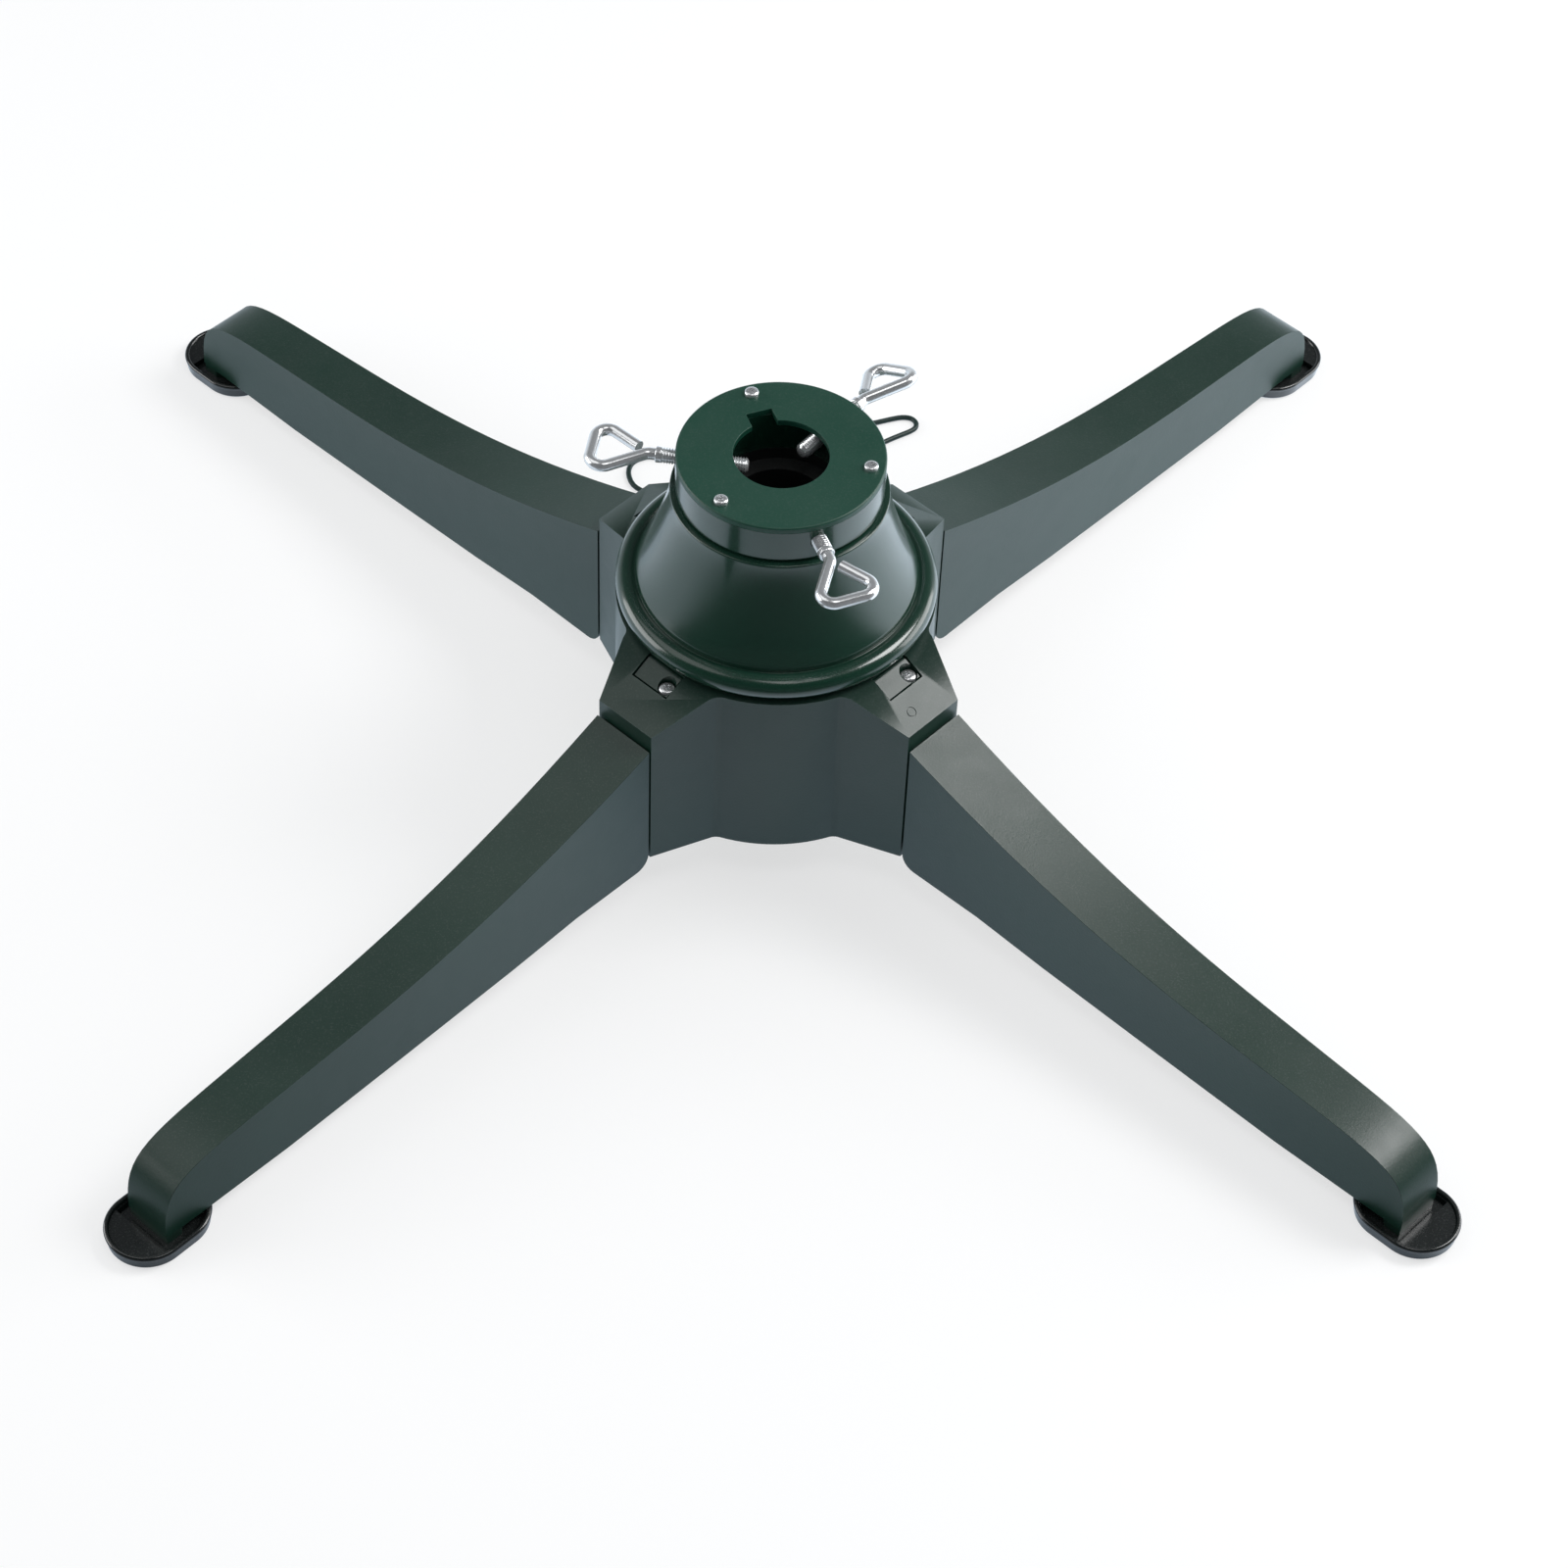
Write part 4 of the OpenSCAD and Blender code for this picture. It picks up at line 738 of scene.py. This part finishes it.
class STAND_OT_plug(bpy.types.Operator):
    """Make the moulded plug with its grip ribs and its metal barrel"""
    bl_idname = "stand.plug"
    bl_label = "Plug"

    def execute(self, context):
        body = [(0, 0), (2.45, 0), (2.6, 0.15)]
        for k in range(4):
            z = 1.1 + 1.75 * k
            r = 2.62 + 0.1 * z
            body += [(r, z), (r - 0.42, z + 0.12), (r - 0.42, z + 0.7), (r + 0.08, z + 0.82)]
        body += [(3.4, 8.1), *arc(3.9, 9.6, 0.85, 120, 60, 3), (4.55, 10.6)]
        for k in range(7):
            z = 12.0 + 1.5 * k
            body += [(4.75, z), (4.4, z + 0.25), (4.4, z + 0.75), (4.75, z + 1.0)]
        body += [(4.75, 26.8), *arc(4.15, 27.4, 0.6, 0, 90, 4), (3.4, 28), (0, 28)]
        barrel = [(2.75, 28.0), (2.75, 37.1), *arc(2.4, 37.15, 0.35, 0, 90, 3), (1.55, 37.5), (1.3, 37.25),
                  (1.3, 28.6), (0.0, 28.6), (0.0, 28.0)]
        turn = Matrix.Translation(Vector(TAIL[-1]) * MM) @ Matrix.Rotation(math.radians(90), 4, "X")
        for name, profile, slot, node in (("plug_body", body, "black_plastic", "dc_plug"),
                                          ("plug_barrel", barrel, "bright_zinc", "dc_plug_barrel")):
            thing = turned(name, profile, slot, steps=48, closed=name == "plug_barrel")
            thing.data.transform(turn)
            place_piece(thing, [node], slot)
        return {"FINISHED"}


# ---------- legs, hub and feet ----------

LEGS = ("leg_rear_right", "leg_rear_left", "leg_front_left", "leg_front_right")
CUPS = ("cup_rear_right", "cup_rear_left", "cup_front_left", "cup_front_right")
LEG_BEARINGS = (45, 135, 225, 315)
LEG_ROOT, LEG_FAR = 80.5, 316.8     # where a leg's flanks start and end, from the hub's axis
LEG_HALVES = (13.35, 10.0)          # half the leg's width at these two
ARM_TOP_EDGE = 83.0                 # the hub's outer edges lie higher than this
ARM_TOP_RADIUS = 59.0               # and farther out
ARM_TOPS = 80.0                     # only above this height do the hub's edges get painted highlight and painted shade
CUP_ROUND = 0.25 * MM


def flank_edge(middle, bearing):
    """Whether an edge lies along one of the two flanks of the leg on this bearing."""
    a = math.radians(bearing)
    out = (middle.x * math.cos(a) + middle.y * math.sin(a)) / MM
    side = (middle.y * math.cos(a) - middle.x * math.sin(a)) / MM
    half = LEG_HALVES[0] + (LEG_HALVES[1] - LEG_HALVES[0]) * (out - LEG_ROOT) / (LEG_FAR - LEG_ROOT)
    return out > LEG_ROOT - 0.1 and abs(side) > half - 0.2


def leg_edge_shade(face):
    """Painted shade: dark on the strips that turn from a leg's top to its flanks."""
    return -1.0 if 0.35 < face.normal.z < 0.85 else 0.0


def hub_edge_light_and_shade(face):
    """Painted highlight where an edge of the arms' tops looks up, painted shade where it turns down."""
    if face.center.z < ARM_TOPS * MM or face.normal.z < 0.05:
        return 0.0
    return 1.0 if face.normal.z > 0.75 else -0.8 if face.normal.z < 0.45 else 0.0


class STAND_OT_legs(bpy.types.Operator):
    """Make the four leg mouldings with slightly rounded edges"""
    bl_idname = "stand.legs"
    bl_label = "Legs"

    def execute(self, context):
        for node, bearing in zip(LEGS, LEG_BEARINGS):
            def outer(middle, bearing=bearing):
                return flank_edge(middle, bearing)
            softened(node, node + "_moulding", sizes().edge_round, sizes().rib_round, outer, 3, leg_edge_shade)
        return {"FINISHED"}


# The bottom cover's vents keep sharp edges: on bars this thin the rounding folds into itself
VENTS_AT = -28.0
VENTS_HALF = (10.0, 18.5)


class STAND_OT_hub(bpy.types.Operator):
    """Make the hub's shell and its bottom cover with barely rounded edges"""
    bl_idname = "stand.hub"
    bl_label = "Hub"

    def execute(self, context):
        def outer(middle):
            return middle.z > ARM_TOP_EDGE * MM and math.hypot(middle.x, middle.y) > ARM_TOP_RADIUS * MM

        def beside_vents(middle):
            return abs(middle.x) > VENTS_HALF[0] * MM or abs(middle.y - VENTS_AT * MM) > VENTS_HALF[1] * MM

        softened("hub_shell", "hub_moulding", sizes().edge_round * 0.9, sizes().rib_round, outer, 3, hub_edge_light_and_shade)
        softened("bottom_cover", "hub_underside", sizes().rib_round, 0.0, beside_vents)
        return {"FINISHED"}


class STAND_OT_feet(bpy.types.Operator):
    """Make the four foot cups with their rolled rims and half-moon ledges"""
    bl_idname = "stand.feet"
    bl_label = "Foot cups"

    def execute(self, context):
        for node in CUPS:
            softened(node, node + "_moulding", CUP_ROUND)
        return {"FINISHED"}


# ---------- head ----------

BELL_CURVE = ((40.2, 146.5), (40.2, 137.65), (50.3, 104.6), (57.85, 99.2))
RIM_AT = (55.2, 100.9)
RIM_R = 4.6
BELL_WALL = 2.2
VALLEY_REACH = 1.6      # distance from the rolled rim at which the bell starts to turn up into it
VALLEY_END = 105        # angle on the rim at which that turn is over
RIM_FIRST, RIM_LAST = 130, -200     # angles at which the rolled rim leaves the outside and meets the inside
RIM_STEPS = 46
COLLAR_ROUND = 0.3 * MM
PLATE_ROUND = 0.25 * MM


def bell_profile():
    """Down the outside of the bell, through a soft valley, round its rolled rim and up the inside."""
    def clear(p, space=0.25):
        return math.hypot(p[0] - RIM_AT[0], p[1] - RIM_AT[1]) > RIM_R + space
    steps = 48
    outside = [cubic(BELL_CURVE, i / steps) for i in range(steps + 1)]
    inside = []
    for i in range(steps, -1, -1):
        (x, y), (u, v) = cubic(BELL_CURVE, i / steps), cubic_slope(BELL_CURVE, i / steps)
        inside.append((x + BELL_WALL * v, y - BELL_WALL * u))
    wall = [p for p in outside[1:] if clear(p, VALLEY_REACH)]
    rim = arc(*RIM_AT, RIM_R, VALLEY_END, RIM_LAST, RIM_STEPS)
    crease = arc(*RIM_AT, RIM_R, RIM_FIRST, RIM_FIRST, 1)[0]
    valley = [cubic((wall[-1], crease, crease, rim[0]), i / 8) for i in range(1, 8)]
    return ([(23.4, 147.0), *arc(39.6, 146.4, 0.6, 90, 12, 5)] + wall + valley + rim
            + [p for p in inside if clear(p) and p[1] < 144.2] + [(38.0, 144.8), (23.4, 144.8)])


class STAND_OT_bell(bpy.types.Operator):
    """Turn the bell cover from its profile"""
    bl_idname = "stand.bell"
    bl_label = "Bell cover"

    def execute(self, context):
        bell = turned("bell_skin", bell_profile(), "glossy_green")
        place_piece(bell, ["bell_cover"])
        return {"FINISHED"}


class STAND_OT_head(bpy.types.Operator):
    """Make the head's collar and its plate with fine edges"""
    bl_idname = "stand.head"
    bl_label = "Head"

    def execute(self, context):
        softened("head_collar", "collar_ring", COLLAR_ROUND)
        softened("top_plate", "head_plate", PLATE_ROUND)
        return {"FINISHED"}


# ---------- clamp bolts ----------

# Node, bearing, the side to which the eye's wire ends, and how far the eye leans over, in degrees
BOLTS = (
    ("clamp_bolt_front", -70.4, -1, 0.0),
    ("clamp_bolt_rear_right", 49.6, -1, -23.5),
    ("clamp_bolt_left", 169.6, 1, 0.0),
)
BOLT_Z = 156.0
BOLT_TIP = 11.8
SHANK_END = 45.5
SHANK_R = 3.0
EYE_CORNERS = [(44.5, 0.0), (48.8, 0.0), (69.0, 13.5), (69.0, -13.5), (52.4, -2.6)]
EYE_BEND = 4.6


def rounded_line(corners, radius, steps):
    """A flat line with its inner corners rounded to one radius."""
    line = [Vector(corners[0])]
    for before, here, after in zip(corners, corners[1:], corners[2:]):
        here = Vector(here)
        u, v = (here - Vector(before)).normalized(), (Vector(after) - here).normalized()
        turn = math.acos(max(-1.0, min(1.0, u.dot(v))))
        left = 1 if u.x * v.y - u.y * v.x > 0 else -1
        start = here - u * radius * math.tan(turn / 2)
        centre = start + Vector((-u.y, u.x)) * left * radius
        first = math.atan2(u.y, u.x) - left * math.pi / 2
        for k in range(steps + 1):
            a = first + left * turn * k / steps
            line.append(centre + Vector((math.cos(a), math.sin(a))) * radius)
    line.append(Vector(corners[-1]))
    return line


def shank_mesh(name):
    """The wall of a bolt's shank as a fine grid with a chamfered tip, along X."""
    around, along = 32, int((SHANK_END - BOLT_TIP - 1) * 8)
    stations = [(BOLT_TIP, 0.0), (BOLT_TIP, 1.9), (BOLT_TIP + 0.12, 2.05)]
    stations += [(BOLT_TIP + 1 + (SHANK_END - BOLT_TIP - 1) * i / along, SHANK_R) for i in range(along + 1)]
    stations += [(SHANK_END + 0.25, 2.8), (SHANK_END + 0.3, 0.0)]
    verts, faces = [], []
    for x, r in stations:
        for k in range(around):
            a = 2 * math.pi * k / around
            verts.append((x * MM, r * MM * math.cos(a), r * MM * math.sin(a)))
    for i in range(len(stations) - 1):
        for k in range(around):
            a, b = i * around + k, i * around + (k + 1) % around
            faces.append((a, b, b + around, a + around))
    mesh = bpy.data.meshes.new(name)
    mesh.from_pydata(verts, [], faces)
    return mesh


class STAND_OT_bolts(bpy.types.Operator):
    """Make the three clamp bolts: cut thread, bent eye and cut-off wire end"""
    bl_idname = "stand.bolts"
    bl_label = "Clamp bolts"

    def execute(self, context):
        s = sizes()
        for node, bearing, hand, lean in BOLTS:
            shank = link(node + "_shank", shank_mesh(node + "_shank"))
            run_tree(shank, thread_tree(), Radius=SHANK_R * MM, Pitch=s.thread_pitch, Depth=s.thread_depth,
                     Start=(BOLT_TIP + 0.6) * MM, End=(SHANK_END - 1.5) * MM,
                     Material=material_of("bright_zinc"))
            face_out(shank.data)
            curve = bpy.data.curves.new(node + "_eye", "CURVE")
            curve.dimensions = "3D"
            curve.bevel_depth = s.wire_radius
            curve.bevel_resolution = 8
            curve.use_fill_caps = True
            line = rounded_line(EYE_CORNERS, EYE_BEND, 16)
            spline = curve.splines.new("POLY")
            spline.points.add(len(line) - 1)
            for knot, p in zip(spline.points, line):
                knot.co = (p.x * MM, p.y * MM, 0.0, 1.0)
            eye = bake(link(node + "_eye", curve))
            face_out(eye.data)
            place = (Matrix.Rotation(math.radians(bearing), 4, "Z") @ Matrix.Translation((0, 0, BOLT_Z * MM))
                     @ Matrix.Rotation(math.radians(lean), 4, "X") @ Matrix.Diagonal((1, hand, 1, 1)))
            mesh = bpy.data.meshes.new(node + "_formed")
            with edited(mesh) as bm:
                bm.from_mesh(shank.data)
                bm.from_mesh(eye.data)
                bmesh.ops.transform(bm, matrix=place, verts=bm.verts)
                if hand < 0:
                    bmesh.ops.reverse_faces(bm, faces=bm.faces)
            bpy.data.objects.remove(shank)
            bpy.data.objects.remove(eye)
            place_piece(link(node + "_formed", mesh), [node], smooth=50.0)
        return {"FINISHED"}


# ---------- screws ----------

# Piece, node, the screw's shank radius, shank length, head radius and head height, its seat on the first
# bearing, how many there are, the first bearing, and whether the head points down
SCREW_RINGS = (
    ("head_screws", "plate_screws", (1.5, 10, 2.65, 1.8), (32.9, 0, 164.1), 3, 107.6, False),
    ("arm_screws", "leg_screws", (2.0, 16, 3.0, 2.0), (62.5, 4.5, 90), 4, 45, False),
    ("underside_screws", "cover_screws", (1.5, 12, 2.8, 1.8), (51, 0, 18.2), 6, 0, True),
    ("collar_fixings", "collar_screws", (2.0, 14, 3.6, 2.0), (31, 0, 141.8), 3, -40.4, True),
    ("gear_fixings", "gear_screws", (2.0, 6.5, 3.6, 1.8), (12, 0, 44.5), 3, 30, True),
)


def screw_master(name, shank_r, reach, head_r, head_h):
    """A pan-head screw, head up with its seat at height 0, in millimetres; it has a cross recess."""
    profile = [(0, -reach), (shank_r - 0.4, -reach), (shank_r, -reach + 0.5), (shank_r, -0.1), (shank_r, 0.0),
               (head_r - 0.12, 0.0), (head_r, 0.12), (head_r, head_h * 0.42)]
    profile += [(head_r * math.cos(t) ** 0.55, head_h * (0.42 + 0.58 * math.sin(t) ** 0.9))
                for t in (math.radians(a) for a in (15, 30, 45, 60, 75))]
    profile += [(head_r * 0.2, head_h * 0.995), (0, head_h)]
    head = turned(name, profile, "screw_zinc", steps=40, closed=False)
    cutter = link(name + "_recess", bpy.data.meshes.new(name + "_recess"))
    with edited(cutter.data) as bm:
        for turn in (Matrix.Identity(3), Matrix.Rotation(math.pi / 2, 3, "Z")):
            arm = bmesh.ops.create_cube(bm, size=1.0)["verts"]
            for v in arm:
                low = v.co.z < 0
                v.co.x *= head_r * (0.5 if low else 1.25) * MM
                v.co.y *= head_r * (0.16 if low else 0.26) * MM
                v.co.z = (head_h * 0.38 if low else head_h * 1.3) * MM
            bmesh.ops.rotate(bm, verts=arm, cent=(0, 0, 0), matrix=turn)
    cut = head.modifiers.new("recess", "BOOLEAN")
    cut.operation = "DIFFERENCE"
    cut.solver = "EXACT"
    cut.use_self = True
    cut.object = cutter
    bake(head)
    bpy.data.objects.remove(cutter)
    return head


def screw_ring(name, node, screw, seat, count, first, head_down):
    """Makes a screw, sets it on its seat at the first bearing and copies it round the axis."""
    master = screw_master(name, *screw)
    place = Matrix.Translation(Vector(seat) * MM)
    if head_down:
        place = place @ Matrix.Rotation(math.pi, 4, "X")
    master.data.transform(place)
    thing = run_tree(master, ring_tree(), Count=count, First=math.radians(first), Step=2 * math.pi / count,
                     Material=material_of("screw_zinc"))
    face_out(thing.data)
    return place_piece(thing, [node])


class STAND_OT_screws(bpy.types.Operator):
    """Make the screws of the head, the collar, the gear, the legs and the bottom cover"""
    bl_idname = "stand.screws"
    bl_label = "Screws"

    def execute(self, context):
        for ring in SCREW_RINGS:
            screw_ring(*ring)
        return {"FINISHED"}


# ---------- what stays as it is in the model ----------

class STAND_OT_works(bpy.types.Operator):
    """Give the model's own pieces their finishes, for all that stays as it is"""
    bl_idname = "stand.works"
    bl_label = "Works inside the hub"

    def execute(self, context):
        for name, thing in frame["nodes"].items():
            thing.data.materials.clear()
            thing.data.materials.append(material_of(slot_of(name)))
        return {"FINISHED"}


# ---------- camera, light and floor ----------

CAMERA = {"azimuth": -3.477, "elevation": 48.412, "roll": 2.474, "distance": 1.5736,
          "target": (0.00195, -0.06793, 0.06176), "lens": 98.45}


def camera_matrix():
    a, e, r = (math.radians(CAMERA[k]) for k in ("azimuth", "elevation", "roll"))
    back = Vector((math.sin(a) * math.cos(e), -math.cos(a) * math.cos(e), math.sin(e)))
    right = Vector((math.cos(a), math.sin(a), 0.0))
    up = back.cross(right)
    across = right * math.cos(r) + up * math.sin(r)
    upright = up * math.cos(r) - right * math.sin(r)
    turn = Matrix((across, upright, back)).transposed().to_4x4()
    return Matrix.Translation(Vector(CAMERA["target"]) + back * CAMERA["distance"]) @ turn


def softbox(name, spot, aim, width, height, power):
    lamp = bpy.data.lights.new(name, "AREA")
    lamp.shape = "RECTANGLE"
    lamp.size, lamp.size_y = width, height
    lamp.energy = power
    thing = link(name, lamp)
    direction = (Vector(aim) - Vector(spot)).normalized()
    thing.matrix_world = Matrix.Translation(spot) @ direction.to_track_quat("-Z", "Y").to_matrix().to_4x4()
    return thing


def floor_material():
    """A pale table top, white far off. In gloss it fades towards its front edge and a little to the left."""
    material = bpy.data.materials.new("studio_floor")
    tree = cleared_tree(material)
    path = add(tree, "ShaderNodeLightPath").outputs
    place = own_place(tree)
    spot = apart(tree, place)
    lift_near = sizes().floor_lift
    front = ramp(tree, spot["Y"], -0.42, -0.05, 0.04, 1.0, "SMOOTHSTEP")
    left = ramp(tree, spot["X"], -0.35, 0.25, 0.62, 1.0)
    share = times(tree, front, left)
    mirrored = plus(tree, path["Is Glossy Ray"], path["Is Transmission Ray"], clamp=True)
    loss = times(tree, mirrored, minus(tree, 1.0, share))
    tone = blend_colour(tree, noise(tree, place, 3.0, 2.0), (0.80, 0.80, 0.80), (0.84, 0.84, 0.84))
    tone = blend_colour(tree, loss, tone, (0.05, 0.05, 0.05))
    tone = blend_colour(tree, path["Is Camera Ray"], tone, (0.36, 0.36, 0.36))
    away = add(tree, "ShaderNodeVectorMath", operation="LENGTH")
    join(tree, (place, away.inputs[0]))
    far = ramp(tree, away.outputs["Value"], 0.8, 2.4, lift_near, 0.96)
    lifted = plus(tree, times(tree, path["Is Camera Ray"], far),
                  times(tree, times(tree, mirrored, share), lift_near))
    shade = blend_colour(tree, path["Is Camera Ray"], (0.70, 0.92, 1.15), (1.0, 1.0, 1.0))
    paper = add(tree, "ShaderNodeBsdfDiffuse")
    lift = add(tree, "ShaderNodeEmission")
    both = add(tree, "ShaderNodeAddShader")
    output = add(tree, "ShaderNodeOutputMaterial")
    join(tree, (tone, paper.inputs["Color"]), (shade, lift.inputs["Color"]),
         (lifted, lift.inputs["Strength"]), (paper.outputs[0], both.inputs[0]),
         (lift.outputs[0], both.inputs[1]), (both.outputs[0], output.inputs[0]))
    return material


def room_world():
    """White for the camera and through glass, dim in gloss, and even and low in diffuse light."""
    s = sizes()
    world = bpy.data.worlds.new("studio_room")
    tree = cleared_tree(world)
    path = add(tree, "ShaderNodeLightPath").outputs
    look = apart(tree, add(tree, "ShaderNodeTexCoord").outputs["Generated"])
    height = ramp(tree, look["Z"], 0.12, 0.55, 0.75, s.room_gloss)
    depth = ramp(tree, look["Y"], -0.4, 0.4, 0.12, 1.0)
    glossy = times(tree, path["Is Glossy Ray"], times(tree, height, depth))
    even = times(tree, minus(tree, 1.0, path["Is Glossy Ray"]), s.room_light)
    seen = add(tree, "ShaderNodeBackground", {"Color": (1.0, 1.0, 1.0, 1.0), "Strength": 1.0})
    lit = add(tree, "ShaderNodeBackground", {"Color": (0.90, 0.97, 1.04, 1.0)})
    pick = add(tree, "ShaderNodeMixShader")
    output = add(tree, "ShaderNodeOutputWorld")
    straight = maths(tree, "MAXIMUM", path["Is Camera Ray"], path["Is Transmission Ray"])
    join(tree, (plus(tree, glossy, even), lit.inputs["Strength"]), (straight, pick.inputs[0]),
         (lit.outputs[0], pick.inputs[1]), (seen.outputs[0], pick.inputs[2]),
         (pick.outputs[0], output.inputs[0]))
    return world


class STAND_OT_stage(bpy.types.Operator):
    """Set up the camera, the softboxes, the room's light and the floor"""
    bl_idname = "stand.stage"
    bl_label = "Camera, light and floor"

    def execute(self, context):
        s = sizes()
        scene = context.scene
        data = bpy.data.cameras.new("photo_camera")
        data.lens = CAMERA["lens"]
        data.sensor_width = data.sensor_height = 36.0
        data.sensor_fit = "AUTO"
        data.clip_start, data.clip_end = 0.05, 50.0
        camera = link("photo_camera", data)
        camera.matrix_world = camera_matrix()
        scene.camera = camera
        scene.view_settings.view_transform = "Standard"

        softbox("key_softbox", (0.93, 0.15, 1.2), (0, 0, 0.05), 0.6, 0.6, s.key_power)
        softbox("right_softbox", (1.5, 0.35, 0.45), (0, 0, 0.1), 1.1, 0.8, s.right_power)
        softbox("left_softbox", (-1.5, 0.2, 0.5), (0, 0, 0.1), 1.1, 0.9, s.left_power)
        softbox("overhead_softbox", (-0.75, 0.1, 1.3), (0, 0, 0), 0.9, 0.9, s.top_power)
        softbox("front_softbox", (0.19, -0.34, 1.63), (0, 0, 0.08), 0.6, 0.6, s.front_power)

        scene.world = room_world()

        floor_mesh = bpy.data.meshes.new("studio_floor")
        with edited(floor_mesh) as bm:
            bmesh.ops.create_grid(bm, x_segments=8, y_segments=8, size=4.0)
            bmesh.ops.translate(bm, verts=bm.verts, vec=(0, 0, -0.02 * MM))
        floor_mesh.materials.append(floor_material())
        link("studio_floor", floor_mesh)
        return {"FINISHED"}


# ---------- panel and start ----------

STEPS = (STAND_OT_works, STAND_OT_stage, STAND_OT_plug, STAND_OT_lead, STAND_OT_hub, STAND_OT_legs,
         STAND_OT_feet, STAND_OT_bell, STAND_OT_head, STAND_OT_bolts, STAND_OT_screws)


class STAND_PT_pieces(bpy.types.Panel):
    """Sizes, colours and steps of the stand"""
    bl_idname = "STAND_PT_pieces"
    bl_label = "Tree stand"
    bl_space_type = "VIEW_3D"
    bl_region_type = "UI"
    bl_category = "Tree Stand"

    def draw(self, context):
        for group in (context.scene.tree_stand_sizes, context.scene.tree_stand_finish):
            box = self.layout.box()
            for key in group.bl_rna.properties.keys():
                if key not in ("rna_type", "name"):
                    box.prop(group, key)
        for step in STEPS:
            self.layout.operator(step.bl_idname)


CLASSES = (StandFinish, StandSizes, *STEPS, STAND_PT_pieces)


def register():
    for item in CLASSES:
        bpy.utils.register_class(item)
    bpy.types.Scene.tree_stand_finish = PointerProperty(type=StandFinish)
    bpy.types.Scene.tree_stand_sizes = PointerProperty(type=StandSizes)


def unregister():
    del bpy.types.Scene.tree_stand_sizes
    del bpy.types.Scene.tree_stand_finish
    for item in reversed(CLASSES):
        bpy.utils.unregister_class(item)


def main():
    register()
    for step in STEPS:
        group, name = step.bl_idname.split(".")
        getattr(getattr(bpy.ops, group), name)()


if __name__ == "__main__":
    main()
